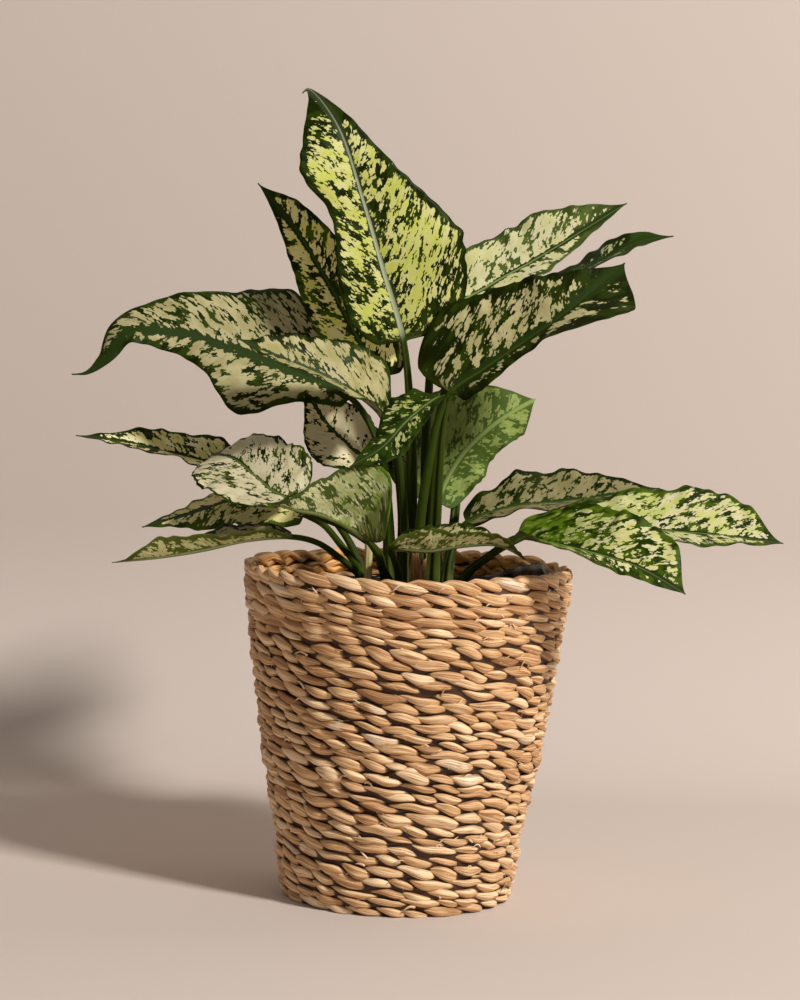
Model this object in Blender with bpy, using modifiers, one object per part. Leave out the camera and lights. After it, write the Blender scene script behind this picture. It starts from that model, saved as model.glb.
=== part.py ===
"""A potted chinese evergreen in a round woven seagrass basket, at its real size.

The origin is the centre of the basket's underside, +Z is up and -Y is the front.
The leaves are listed in centimetres, everything else is in metres.
"""

import math
from dataclasses import dataclass

import bmesh
import bpy
from mathutils import Vector, noise

OBJECT_NAME = "potted_chinese_evergreen"
CM = 0.01

# Basket: radii of the outer wall at heights above the underside, at the middle of the weave
BASKET_HEIGHT = 0.230
BASKET_OUTLINE = ((0.000, 0.0760), (0.008, 0.0795), (0.045, 0.0835), (0.080, 0.0905),
                  (0.145, 0.1010), (0.210, 0.1100), (0.225, 0.1115))
BASKET_WALL = 0.0085
BASKET_LEAN = 0.0024
BASKET_FLOOR = 0.008
WALL_MARKS = (0.045, 0.080, 0.145, 0.190)
WEAVE_ROWS = 13
WEAVE_RINGS_PER_ROW = 3
WEAVE_LOBES = 15
WEAVE_STEPS = 60
WEAVE_DEPTH = 0.0030
STRAND_SHARE = 0.56
ROW_SHIFT = 2.3

# Liner: a loose plastic film inside the basket, higher on the right-hand side
LINER_GAP = 0.0004
LINER_THICKNESS = 0.0008
FILLING_STEPS = 40
LINER_TOP = 0.2165
LINER_TOP_WAVE = 0.0030
LINER_TAB_HEIGHT = 0.0085
LINER_TAB_ANGLE = math.radians(12)
LINER_TAB_SPREAD = math.radians(24)

# Potting soil, heaped a little round the stalks
SOIL_GAP = 0.0004
SOIL_EDGE = 0.2080
SOIL_HEAP = 0.0060
SOIL_HEAP_SPREAD = 0.050
SOIL_GRAIN = 0.0011
SOIL_GRAIN_SCALE = 160
SOIL_RINGS = 7
HOLE_DEPTH = 0.028
HOLE_GAP = 0.0004
HOLE_SIDES = 10

# The plant stands where the leaning basket carries it
PLANT_SHIFT = Vector((BASKET_LEAN, 0.0, 0.0))

# Leaves: stalk radii, blade thickness and how finely the solids are cut
ROOT_DEPTH = 0.026
COLLAR_HEIGHT = 0.2185
STALK_RADIUS_FOOT = 0.0034
STALK_RADIUS_MIDDLE = 0.0026
STALK_RADIUS_TOP = 0.0021
MIDRIB_RADIUS_START = 0.0017
BLADE_HALF_THICKNESS = 0.00035
MARGIN_HALF_THICKNESS = 0.00031
TIP_HALF_WIDTH = 0.0006
BASE_ROUNDING = 0.20
LIFT_START = 0.10
FULL_LIFT_WIDTH = 0.016
STALK_STATIONS = 5
BLADE_STATIONS = 13
STATION_EASING = 0.45
CURVE_STEPS = 12
WIDTH_MARKS = 5

# Pieces at the foot of the stalks
STUB_PLACE = (-0.0251, -0.0380)
STUB_TOP = 0.2530
STUB_RADIUS = 0.0034
STUB_SIDES = 10
STUB_CUT_SLOPE = 0.45
SHEATH_INNER_RADIUS = 0.0044
SHEATH_THICKNESS = 0.0008
SHEATH_FOOT = 0.2165
SHEATH_HEIGHT = 0.0230
SHEATH_STEPS = 14


@dataclass(frozen=True)
class Half:
    """One side of a blade: its widths at sixths of the length, and how far it is lifted.

    A lift is an angle in degrees at the midrib and one at the margin. The lifts at the middle
    and the tip follow from the one at the base, unless they are given.
    """

    widths: tuple
    lift: tuple = (12, 12)
    middle_lift: tuple = None
    tip_lift: tuple = None


@dataclass(frozen=True)
class Leaf:
    """A leaf that grew as one piece: the stalk from the soil, and the blade from base to tip.

    faces says which way the upper side looks at the base, the middle and the tip.
    """

    name: str
    root: tuple
    stalk: tuple
    blade: tuple
    faces: tuple
    left: Half
    right: Half
    wave: tuple = (0.16, 3.0, 0.0)
    lobe: float = 0.5
    colour: tuple = (0.16, 0.27, 0.07)


DARK_GREEN = (0.07, 0.14, 0.03)
MID_GREEN = (0.16, 0.27, 0.07)
PALE_GREEN = (0.33, 0.40, 0.16)
BRIGHT_GREEN = (0.42, 0.52, 0.12)

LEAVES = (
    Leaf(
        name="leaf_crown",
        root=(0.1, 0.3),
        stalk=((0.1, 0.3, 26.0), (-0.1, 0.2, 32.0)),
        blade=((-0.8, 0.0, 38.4), (-2.3, -0.6, 43.2), (-3.9, -0.9, 48.2), (-5.6, -0.3, 52.8),
               (-7.9, 1.2, 55.6)),
        faces=((0.1, -1, 0), (0.05, -1, 0.1), (-0.1, -1, 0.5)),
        left=Half((3.3, 3.6, 2.4, 3.6, 3.3), (14, 2)),
        right=Half((5.2, 5.8, 4.7, 2.4, 1.1), (12, -4)),
        wave=(0.22, 3.5, 0.1),
        colour=BRIGHT_GREEN,
    ),
    Leaf(
        name="leaf_upper_left",
        root=(-0.4, 1.4),
        stalk=((-0.6, 1.4, 27.0), (-1.4, 1.3, 32.0)),
        blade=((-2.5, 1.6, 35.8), (-4.4, 2.0, 39.2), (-6.3, 2.4, 42.5), (-8.5, 3.0, 45.8),
               (-11.3, 4.2, 49.0)),
        faces=((-0.2, -0.95, 0.2), (-0.35, -0.85, 0.35), (-0.4, -0.7, 0.6)),
        left=Half((2.2, 2.8, 2.4, 1.7, 1.0)),
        right=Half((2.8, 3.2, 2.7, 2.0, 1.3)),
    ),
    Leaf(
        name="leaf_left_arch",
        root=(-1.2, 0.6),
        stalk=((-1.5, 1.1, 26.5), (-2.2, 1.6, 30.8)),
        blade=((-4.3, 2.0, 34.3), (-8.4, 2.0, 36.0), (-12.6, 2.0, 37.5), (-16.6, 1.8, 38.6),
               (-20.0, 1.2, 38.4), (-21.8, 0.8, 36.6), (-23.5, 0.3, 35.5)),
        faces=((0.2, -0.85, 0.5), (0.1, -0.85, 0.5), (-0.3, -0.7, 0.6)),
        left=Half((2.6, 4.2, 2.2, 1.3, 1.0), (6, -10), None, (-15, -50)),
        right=Half((4.6, 5.3, 4.3, 2.7, 1.6), (6, 4), None, (4, -30)),
        wave=(0.28, 3.0, 0.2),
        colour=PALE_GREEN,
    ),
    Leaf(
        name="leaf_front_left",
        root=(-0.3, -1.2),
        stalk=((-0.4, -1.3, 26.5), (-1.0, -1.5, 31.0)),
        blade=((-2.1, -2.0, 33.4), (-4.3, -3.1, 35.2), (-7.0, -3.7, 36.5), (-9.6, -4.2, 37.5),
               (-11.9, -4.5, 38.5)),
        faces=((-0.1, -0.45, 0.9), (-0.1, -0.45, 0.9), (-0.1, -0.45, 0.9)),
        left=Half((2.2, 2.4, 2.3, 1.8, 1.0), (24, 20)),
        right=Half((3.0, 2.8, 2.7, 2.2, 1.3), (32, 34)),
        colour=PALE_GREEN,
    ),
    Leaf(
        name="leaf_left_inner",
        root=(-1.4, 1.9),
        stalk=((-1.5, 2.2, 24.5), (-1.8, 2.6, 27.0)),
        blade=((-2.8, 3.0, 29.6), (-4.4, 3.3, 30.9), (-6.0, 3.9, 32.2), (-7.3, 4.4, 33.7),
               (-8.6, 5.0, 35.1)),
        faces=((-0.1, -1, 0.3), (-0.1, -1, 0.3), (-0.1, -1, 0.4)),
        left=Half((1.9, 2.6, 2.3, 1.6, 0.8)),
        right=Half((2.2, 2.6, 2.4, 1.8, 1.0)),
        colour=PALE_GREEN,
    ),
    Leaf(
        name="leaf_front_centre",
        root=(0.6, -2.6),
        stalk=((0.7, -2.6, 26.4), (1.1, -2.7, 29.8), (1.5, -2.9, 32.6)),
        blade=((2.0, -3.2, 34.9), (0.8, -4.8, 34.4), (-0.5, -6.2, 33.3), (-2.0, -7.6, 31.7),
               (-4.1, -8.6, 30.4)),
        faces=((-0.5, -0.5, 0.7), (-0.35, -0.5, 0.8), (0, -0.6, 0.8)),
        left=Half((0.8, 1.0, 1.3, 1.4, 0.9), (-20, -30)),
        right=Half((1.9, 2.1, 1.6, 1.1, 0.7), (20, 30)),
        wave=(0.08, 2.5, 0.0),
    ),
    Leaf(
        name="leaf_far_left",
        root=(-2.8, 0.5),
        stalk=((-3.4, 0.7, 23.0), (-4.6, 1.4, 25.0), (-7.0, 3.6, 27.2)),
        blade=((-9.7, 5.5, 28.2), (-12.9, 5.5, 29.2), (-16.3, 5.5, 29.9), (-20.0, 5.5, 30.6),
               (-23.8, 5.5, 30.9)),
        faces=((0.1, -0.35, 0.93), (0.1, -0.35, 0.93), (0.1, -0.35, 0.93)),
        left=Half((1.9, 2.3, 1.9, 1.3, 0.7), (18, 18)),
        right=Half((1.8, 2.4, 2.2, 1.7, 0.9), (24, 24)),
    ),
    Leaf(
        name="leaf_left_broad",
        root=(-1.6, -0.6),
        stalk=((-2.0, -1.2, 23.8), (-4.0, -3.0, 25.6), (-6.6, -5.1, 26.9)),
        blade=((-8.2, -5.0, 27.8), (-9.4, -4.1, 28.3), (-10.6, -2.8, 29.1), (-12.2, -0.9, 30.1),
               (-13.9, 1.4, 30.2)),
        faces=((0.1, -0.4, 0.9), (-0.1, -0.45, 0.85), (-0.3, -0.2, 0.9)),
        left=Half((3.2, 3.9, 3.9, 3.4, 2.2), (5, -6)),
        right=Half((4.0, 4.7, 4.3, 3.2, 1.9), (24, 24)),
        wave=(0.12, 3.0, 0.3),
        colour=PALE_GREEN,
    ),
    Leaf(
        name="leaf_left_cupped",
        root=(-1.2, -2.0),
        stalk=((-1.8, -3.6, 23.2), (-2.1, -6.2, 24.4)),
        blade=((-2.9, -7.2, 25.5), (-4.2, -7.2, 26.3), (-6.0, -7.2, 27.0), (-7.7, -7.4, 27.3),
               (-9.6, -7.6, 27.8)),
        faces=((0, -0.1, 1), (0, -0.1, 1), (0, -0.1, 1)),
        left=Half((4.0, 3.6, 2.5, 1.7, 0.9), (78, 90)),
        right=Half((3.4, 3.2, 2.5, 1.7, 0.9), (50, 66)),
        wave=(0.08, 2.0, 0.2),
        lobe=0.5,
        colour=PALE_GREEN,
    ),
    Leaf(
        name="leaf_low_front",
        root=(-0.6, -3.2),
        stalk=((-0.7, -4.4, 23.0), (-1.0, -5.9, 24.1)),
        blade=((-1.2, -6.6, 24.8), (1.4, -7.0, 24.8), (3.7, -7.0, 25.2), (6.1, -6.5, 25.2),
               (8.2, -6.0, 24.1)),
        faces=((0, -0.1, 1), (0, -0.1, 1), (0, -0.2, 1)),
        left=Half((2.2, 2.5, 2.1, 1.6, 0.9), (30, 40)),
        right=Half((1.6, 1.6, 1.4, 1.2, 0.8), (72, 84)),
        wave=(0.08, 2.0, 0.4),
        lobe=0.5,
        colour=PALE_GREEN,
    ),
    Leaf(
        name="leaf_right_inner",
        root=(1.9, 2.2),
        stalk=((1.9, 2.8, 23.2), (1.8, 3.9, 25.0)),
        blade=((1.9, 5.0, 26.9), (3.6, 5.8, 29.5), (5.3, 6.5, 31.2), (7.0, 7.1, 32.8),
               (8.7, 8.0, 34.3)),
        faces=((0.1, 0.95, 0.1), (0.1, 0.95, 0.1), (0.1, 0.95, 0.1)),
        left=Half((1.9, 2.3, 2.2, 1.9, 1.9), (8, 16)),
        right=Half((3.3, 4.6, 5.0, 4.4, 2.3), (8, 14)),
        wave=(0.2, 3.0, 0.0),
    ),
    Leaf(
        name="leaf_right_arch",
        root=(1.6, -1.4),
        stalk=((1.7, -1.5, 26.5), (1.8, -1.6, 30.0), (2.0, -1.8, 33.0)),
        blade=((2.5, -2.0, 35.1), (4.7, -2.3, 36.8), (7.4, -2.6, 38.8), (10.3, -2.8, 41.0),
               (14.1, -1.2, 44.3)),
        faces=((-0.2, -0.92, 0.4), (-0.2, -0.8, 0.55), (-0.1, -0.85, 0.5)),
        left=Half((4.2, 4.1, 3.6, 2.8, 1.5), (8, 6)),
        right=Half((1.9, 2.7, 3.0, 3.2, 3.5), (34, 34), (46, 42), (4, -14)),
        wave=(0.14, 3.0, 0.5),
        lobe=1.0,
        colour=DARK_GREEN,
    ),
    Leaf(
        name="leaf_upper_right",
        root=(1.0, 1.2),
        stalk=((1.0, 1.3, 27.0), (1.0, 1.9, 34.0)),
        blade=((1.7, 3.5, 39.9), (5.0, 5.0, 42.3), (8.2, 6.0, 44.2), (11.3, 6.7, 46.2),
               (14.7, 8.0, 48.4)),
        faces=((-0.25, -0.75, 0.6), (-0.25, -0.75, 0.6), (-0.2, -0.8, 0.5)),
        left=Half((3.0, 3.3, 3.4, 2.8, 1.6), (8, 6)),
        right=Half((2.6, 2.9, 2.5, 1.8, 0.9), (10, 8)),
        wave=(0.2, 3.0, 0.6),
        colour=PALE_GREEN,
    ),
    Leaf(
        name="leaf_right_slim",
        root=(1.4, 0.0),
        stalk=((1.5, 0.1, 28.0), (2.2, 0.5, 35.5)),
        blade=((4.4, 1.0, 40.7), (7.4, 1.4, 42.6), (10.4, 1.5, 43.7), (13.3, 1.6, 44.5),
               (17.6, 2.0, 46.2)),
        faces=((-0.1, -0.1, 1), (-0.1, -0.05, 1), (-0.1, -0.8, 0.6)),
        left=Half((1.7, 2.3, 1.7, 1.4, 1.0), (16, 20)),
        right=Half((1.7, 2.2, 1.6, 1.2, 0.8), (14, 16)),
        colour=DARK_GREEN,
    ),
    Leaf(
        name="leaf_right_long",
        root=(2.7, 0.9),
        stalk=((2.8, 1.3, 23.2), (3.2, 1.9, 24.6)),
        blade=((3.9, 2.2, 25.8), (7.1, 2.8, 27.0), (10.7, 3.9, 27.4), (14.3, 4.8, 27.9),
               (17.6, 5.5, 28.4)),
        faces=((0, -0.35, 0.93), (0, -0.35, 0.93), (0, -0.35, 0.93)),
        left=Half((2.1, 2.9, 2.9, 2.4, 1.5), (24, 26)),
        right=Half((2.0, 2.5, 2.4, 1.8, 0.9), (18, 18)),
        wave=(0.22, 4.0, 0.1),
        lobe=0.2,
    ),
    Leaf(
        name="leaf_right_front",
        root=(3.5, -2.6),
        stalk=((4.0, -3.1, 22.9), (5.4, -4.5, 24.3)),
        blade=((7.2, -5.4, 25.7), (9.3, -7.0, 25.4), (12.4, -9.0, 24.8), (15.2, -10.0, 24.1),
               (18.2, -11.0, 22.9)),
        faces=((-0.1, -0.75, 0.65), (-0.1, -0.75, 0.65), (-0.1, -0.75, 0.65)),
        left=Half((3.4, 3.8, 3.7, 3.5, 2.6), (8, 4)),
        right=Half((1.8, 2.0, 1.8, 1.4, 0.8), (70, 96), None, (14, 0)),
        wave=(0.18, 3.0, 0.7),
    ),
    Leaf(
        name="leaf_far_right",
        root=(3.6, -1.2),
        stalk=((4.2, -1.3, 22.9), (5.8, -1.5, 24.2), (8.3, -1.6, 25.6)),
        blade=((10.6, -1.4, 26.1), (14.4, -1.0, 26.1), (18.0, -1.0, 26.0), (21.8, -1.0, 25.8),
               (25.7, -1.0, 25.4)),
        faces=((0, -0.4, 0.9), (0, -0.4, 0.9), (0, -0.4, 0.9)),
        left=Half((2.7, 3.6, 3.9, 4.0, 3.0), (20, 22)),
        right=Half((2.3, 2.8, 2.8, 2.4, 1.4), (14, 12)),
        wave=(0.2, 3.5, 0.35),
        colour=PALE_GREEN,
    ),
    Leaf(
        name="leaf_lower_left",
        root=(-2.9, -0.7),
        stalk=((-3.3, -0.8, 22.7), (-4.6, -1.2, 24.3), (-5.9, -1.7, 25.8)),
        blade=((-7.2, -1.2, 26.4), (-9.7, -1.0, 27.3), (-12.4, -1.0, 27.2), (-15.3, -1.0, 26.2),
               (-18.4, -1.0, 25.2)),
        faces=((0, -0.45, 0.9), (0, -0.45, 0.9), (0, -0.45, 0.9)),
        left=Half((2.2, 2.8, 2.6, 2.0, 1.0), (-4, -26)),
        right=Half((2.2, 2.6, 2.4, 1.8, 0.9), (-4, -20)),
        colour=PALE_GREEN,
    ),
    Leaf(
        name="leaf_lowest_left",
        root=(-2.9, -1.8),
        stalk=((-3.4, -2.4, 22.6), (-4.7, -3.4, 23.8), (-6.2, -4.6, 24.9)),
        blade=((-7.9, -5.2, 25.3), (-10.9, -5.4, 25.0), (-13.9, -5.4, 24.2), (-16.9, -5.4, 23.6),
               (-20.0, -5.4, 23.2)),
        faces=((0, -0.1, 1), (0, -0.1, 1), (0, -0.1, 1)),
        left=Half((1.0, 1.1, 1.4, 1.5, 0.9), (68, 80)),
        right=Half((2.1, 2.5, 2.4, 1.9, 1.1), (14, 24)),
        colour=PALE_GREEN,
    ),
    Leaf(
        name="leaf_behind_centre",
        root=(0.2, 3.0),
        stalk=((0.1, 3.7, 24.0), (0.0, 5.0, 26.2)),
        blade=((0.1, 6.4, 27.9), (0.4, 8.5, 30.4), (0.9, 10.8, 32.3), (1.4, 13.2, 33.5),
               (1.8, 15.8, 33.4)),
        faces=((0, -0.7, 0.7), (0, -0.5, 0.85), (0, 0, 1)),
        left=Half((2.1, 2.6, 2.4, 1.8, 1.0)),
        right=Half((2.1, 2.6, 2.4, 1.8, 1.0)),
        colour=PALE_GREEN,
    ),
    Leaf(
        name="leaf_back_left",
        root=(-0.5, 2.7),
        stalk=((-0.6, 3.1, 26.5), (-1.3, 4.6, 32.0)),
        blade=((-2.4, 7.0, 35.6), (-3.5, 9.8, 37.4), (-4.6, 12.6, 38.0), (-5.6, 15.3, 37.4),
               (-6.3, 18.0, 35.9)),
        faces=((-0.1, -0.4, 0.9), (-0.1, -0.1, 1), (-0.1, 0.3, 1)),
        left=Half((2.6, 3.1, 2.8, 2.0, 1.1)),
        right=Half((2.6, 3.1, 2.8, 2.0, 1.1)),
        wave=(0.2, 3.0, 0.3),
    ),
    Leaf(
        name="leaf_back_right",
        root=(2.7, 3.4),
        stalk=((3.2, 6.2, 26.5), (3.3, 8.0, 31.5)),
        blade=((4.0, 10.2, 36.2), (5.1, 12.2, 38.0), (6.3, 14.2, 38.4), (7.3, 16.2, 37.6),
               (8.0, 18.2, 35.8)),
        faces=((0.1, -0.4, 0.9), (0.1, -0.1, 1), (0.1, 0.3, 1)),
        left=Half((2.7, 3.2, 2.9, 2.1, 1.1)),
        right=Half((2.7, 3.2, 2.9, 2.1, 1.1)),
        wave=(0.2, 3.0, 0.5),
    ),
)


def clear_scene():
    for old in list(bpy.data.objects):
        bpy.data.objects.remove(old, do_unlink=True)


def make_collection(name):
    collection = bpy.data.collections.new(name)
    bpy.context.scene.collection.children.link(collection)
    return collection


def make_material(name, colour, roughness, metallic=0.0):
    material = bpy.data.materials.new(name)
    material.use_nodes = True
    shader = material.node_tree.nodes["Principled BSDF"]
    shader.inputs["Base Color"].default_value = (*colour, 1.0)
    shader.inputs["Roughness"].default_value = roughness
    shader.inputs["Metallic"].default_value = metallic
    return material


def add_object(name, mesh, collection, material):
    obj = bpy.data.objects.new(name, mesh)
    obj.data.materials.clear()
    obj.data.materials.append(material)
    collection.objects.link(obj)
    return obj


def apply_modifiers(obj):
    """The object's modifiers become part of its own mesh."""
    bpy.context.view_layer.update()
    evaluated = obj.evaluated_get(bpy.context.evaluated_depsgraph_get())
    mesh = bpy.data.meshes.new_from_object(evaluated)
    mesh.name = obj.name
    obj.modifiers.clear()
    obj.data = mesh


def turned_object(name, profile, steps, collection, material):
    """Turns a profile of (radius, height) points, which runs down its outer side, about the Z axis.

    A profile that leaves the axis out is a ring, and is joined end to end.
    """
    mesh = bpy.data.meshes.new(name)
    edges = [(index, index + 1) for index in range(len(profile) - 1)]
    if profile[0][0] > 0:
        edges.append((len(profile) - 1, 0))
    mesh.from_pydata([(radius, 0.0, height) for radius, height in profile], edges, [])
    obj = add_object(name, mesh, collection, material)
    screw = obj.modifiers.new("turn", "SCREW")
    screw.steps = steps
    screw.render_steps = steps
    screw.use_merge_vertices = True
    screw.merge_threshold = 0.0001
    apply_modifiers(obj)
    return obj


def move_points(obj, rule):
    """Moves each point of a mesh to where the rule puts it, and shades the mesh smooth."""
    for vertex in obj.data.vertices:
        vertex.co = rule(vertex.co.copy())
    obj.data.shade_smooth()


def between(marks, value):
    """Reads a broken line of (position, value) marks at a position."""
    for (low, low_value), (high, high_value) in zip(marks, marks[1:]):
        if value <= high:
            share = max(0.0, (value - low) / (high - low))
            return low_value + (high_value - low_value) * share
    return marks[-1][1]


def outer_radius(height):
    return between(BASKET_OUTLINE, height)


def leaned(point):
    """The basket leans: its rim stands a little to the right of its foot."""
    return Vector((point.x + BASKET_LEAN * point.z / BASKET_HEIGHT, point.y, point.z))


def rope_surface(turn, across):
    """How far a rope of two twisted strands stands out, from -1 to 1.

    turn is the rope's own twist in radians, across runs from -1 to 1 over its height.
    """
    reach = -1.0
    for strand in (0.0, math.pi):
        centre_out = math.cos(turn + strand) * (1 - STRAND_SHARE)
        centre_up = math.sin(turn + strand) * (1 - STRAND_SHARE)
        offset = across - centre_up
        if abs(offset) < STRAND_SHARE:
            reach = max(reach, centre_out + math.sqrt(STRAND_SHARE ** 2 - offset ** 2))
    return reach


def weave_relief(point):
    """Raises the basket's outer wall into rows of twisted rope."""
    radius = math.hypot(point.x, point.y)
    row_height = BASKET_HEIGHT / WEAVE_ROWS
    if radius < outer_radius(point.z) - WEAVE_DEPTH or point.z < row_height * 0.2:
        return point
    angle = math.atan2(point.y, point.x)
    row = math.floor(point.z / row_height)
    across = (point.z / row_height - row) * 2 - 1
    turn = row * ROW_SHIFT - angle * WEAVE_LOBES / 2
    raised = radius + WEAVE_DEPTH * rope_surface(turn, across)
    return Vector((math.cos(angle) * raised, math.sin(angle) * raised, point.z))


def build_basket(collection):
    """The basket: a turned shell with a rounded rim, its outside raised into rope rows."""
    rings = WEAVE_ROWS * WEAVE_RINGS_PER_ROW
    heights = [BASKET_HEIGHT * index / rings for index in range(rings, -1, -1)]
    outer = [(outer_radius(height), height) for height in heights[1:]]
    inner = [(outer_radius(height) - BASKET_WALL, height)
             for height in (BASKET_FLOOR, *WALL_MARKS, 0.215)]
    rim_middle = outer_radius(BASKET_HEIGHT) - BASKET_WALL / 2
    rim = [(rim_middle - BASKET_WALL * 0.40, BASKET_HEIGHT - 0.0035),
           (rim_middle, BASKET_HEIGHT),
           (rim_middle + BASKET_WALL * 0.35, BASKET_HEIGHT - 0.0020)]
    profile = [(0.0, BASKET_FLOOR)] + inner + rim + outer + [(0.0, 0.0)]
    material = make_material("seagrass", (0.55, 0.36, 0.17), 0.8)
    basket = turned_object("woven_basket", profile, WEAVE_STEPS, collection, material)
    move_points(basket, lambda point: leaned(weave_relief(point)))
    return basket


def liner_radius(height):
    """Outer radius of the liner, just inside the basket's wall."""
    return outer_radius(height) - BASKET_WALL - LINER_GAP


def liner_rule(point):
    """The liner's loose top edge waves, and stands up in a tab at the right."""
    angle = math.atan2(point.y, point.x)
    share = max(0.0, (point.z - WALL_MARKS[-1]) / (LINER_TOP - WALL_MARKS[-1]))
    tab = math.exp(-((angle - LINER_TAB_ANGLE) / LINER_TAB_SPREAD) ** 2)
    lift = LINER_TOP_WAVE * math.sin(5 * angle) + LINER_TAB_HEIGHT * tab
    inward = 0.0009 * share * (1 + math.sin(7 * angle + 1))
    radius = math.hypot(point.x, point.y)
    if share == 0 or radius == 0:
        return point
    scale = (radius - inward) / radius
    return Vector((point.x * scale, point.y * scale, point.z + lift * share))


def build_liner(collection):
    """The liner: a thin open shell of black film that holds the soil."""
    floor = BASKET_FLOOR + LINER_GAP
    heights = (floor + 0.002, *WALL_MARKS, LINER_TOP)
    outer = [(liner_radius(height), height) for height in reversed(heights)]
    outer.append((liner_radius(floor) - 0.002, floor))
    inner = [(radius - LINER_THICKNESS, height) for radius, height in reversed(outer[:-1])]
    inner[0] = (inner[0][0], floor + LINER_THICKNESS + 0.0012)
    inner.insert(0, (outer[-1][0] - LINER_THICKNESS, floor + LINER_THICKNESS))
    profile = [(0.0, floor + LINER_THICKNESS)] + inner + outer + [(0.0, floor)]
    material = make_material("black_film", (0.012, 0.012, 0.013), 0.35)
    liner = turned_object("plastic_liner", profile, FILLING_STEPS, collection, material)
    move_points(liner, lambda point: leaned(liner_rule(point)))
    return liner


def soil_level(x, y):
    """Height of the soil's surface, heaped round the stalks."""
    heap = SOIL_HEAP * math.exp(-(x * x + y * y) / SOIL_HEAP_SPREAD ** 2)
    grain = noise.noise(Vector((x * SOIL_GRAIN_SCALE, y * SOIL_GRAIN_SCALE, 0.0)))
    return SOIL_EDGE + heap + SOIL_GRAIN * grain


def soil_rule(point):
    if point.z < SOIL_EDGE - 0.001:
        return point
    return Vector((point.x, point.y, soil_level(point.x, point.y)))


def build_soil(collection, helpers, stalks):
    """The soil: a turned filling with an uneven top, and a plain hole for each stalk."""
    floor = BASKET_FLOOR + LINER_GAP + LINER_THICKNESS + SOIL_GAP + 0.0012
    side_heights = (SOIL_EDGE, *reversed(WALL_MARKS), floor)
    side = [(liner_radius(height) - LINER_THICKNESS - SOIL_GAP - 0.0022 * (height > 0.19), height)
            for height in side_heights]
    top = [(side[0][0] * ring / SOIL_RINGS, SOIL_EDGE) for ring in range(SOIL_RINGS)]
    profile = top + side + [(0.0, floor)]
    material = make_material("potting_soil", (0.055, 0.035, 0.022), 0.95)
    soil = turned_object("potting_soil", profile, FILLING_STEPS, collection, material)
    move_points(soil, lambda point: leaned(soil_rule(point)))
    for place, radius in stalks:
        bpy.ops.mesh.primitive_cone_add(
            vertices=HOLE_SIDES, radius1=radius + HOLE_GAP, radius2=radius + HOLE_GAP,
            depth=HOLE_DEPTH * 2, location=(*place, COLLAR_HEIGHT))
        cutter = bpy.context.object
        for owner in list(cutter.users_collection):
            owner.objects.unlink(cutter)
        helpers.objects.link(cutter)
    cut = soil.modifiers.new("holes", "BOOLEAN")
    cut.operation = "DIFFERENCE"
    cut.operand_type = "COLLECTION"
    cut.collection = helpers
    apply_modifiers(soil)
    for cutter in list(helpers.objects):
        bpy.data.objects.remove(cutter, do_unlink=True)
    return soil


def smooth_curve(points):
    """A smooth line through the points, with CURVE_STEPS short straight pieces to each span."""
    padded = [points[0] * 2 - points[1], *points, points[-1] * 2 - points[-2]]
    knots = [0.0]
    for start, end in zip(padded, padded[1:]):
        knots.append(knots[-1] + math.sqrt((end - start).length))
    line = [points[0].copy()]
    for span in range(1, len(padded) - 2):
        t0, t1, t2, t3 = knots[span - 1:span + 3]
        p0, p1, p2, p3 = padded[span - 1:span + 3]
        for step in range(1, CURVE_STEPS + 1):
            t = t1 + (t2 - t1) * step / CURVE_STEPS
            a1 = p0.lerp(p1, (t - t0) / (t1 - t0))
            a2 = p1.lerp(p2, (t - t1) / (t2 - t1))
            a3 = p2.lerp(p3, (t - t2) / (t3 - t2))
            b1 = a1.lerp(a2, (t - t0) / (t2 - t0))
            b2 = a2.lerp(a3, (t - t1) / (t3 - t1))
            line.append(b1.lerp(b2, (t - t1) / (t2 - t1)))
    return line


def place_along(line, share):
    """The point at a share of a line's length, and the line's direction there."""
    lengths = [(end - start).length for start, end in zip(line, line[1:])]
    wanted = share * sum(lengths)
    for index, length in enumerate(lengths):
        if wanted <= length or index == len(lengths) - 1:
            start, end = line[index], line[index + 1]
            return start.lerp(end, min(1.0, wanted / length)), (end - start).normalized()
        wanted -= length
    return line[-1], (line[-1] - line[-2]).normalized()


def blend_three(values, share):
    """Blends from the first value through the second to the third."""
    if share < 0.5:
        return values[0].lerp(values[1], share * 2)
    return values[1].lerp(values[2], share * 2 - 1)


def half_width(half, share):
    """Half width of the blade, in metres, at a share of its length."""
    marks = (half.widths[0], *half.widths, 0.0)
    position = min(share * (WIDTH_MARKS + 1), WIDTH_MARKS + 0.999)
    index = int(position)
    step = position - index
    before = marks[max(0, index - 1)]
    start, end = marks[index], marks[index + 1]
    after = marks[min(len(marks) - 1, index + 2)] if index < WIDTH_MARKS else -end
    rise, fall = (end - before) / 2, (after - start) / 2
    width = (start * (2 * step ** 3 - 3 * step ** 2 + 1) + end * (3 * step ** 2 - 2 * step ** 3)
             + rise * (step ** 3 - 2 * step ** 2 + step) + fall * (step ** 3 - step ** 2))
    opening = min(1.0, share / BASE_ROUNDING)
    return max(0.0, width) * CM * math.sqrt(1 - (1 - opening) ** 2)


def half_lift(half, share):
    """Lift of a half at the midrib and at the margin, in radians; a narrow part lies flatter."""
    full = min(1.0, half_width(half, share) / FULL_LIFT_WIDTH) * min(1.0, share / LIFT_START)
    tip_lift = half.tip_lift or half.lift
    middle_lift = half.middle_lift or [(start + end) / 2 for start, end in zip(half.lift, tip_lift)]
    return [math.radians(between(((0, base), (0.5, middle), (1, tip)), share)) * full
            for base, middle, tip in zip(half.lift, middle_lift, tip_lift)]


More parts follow.
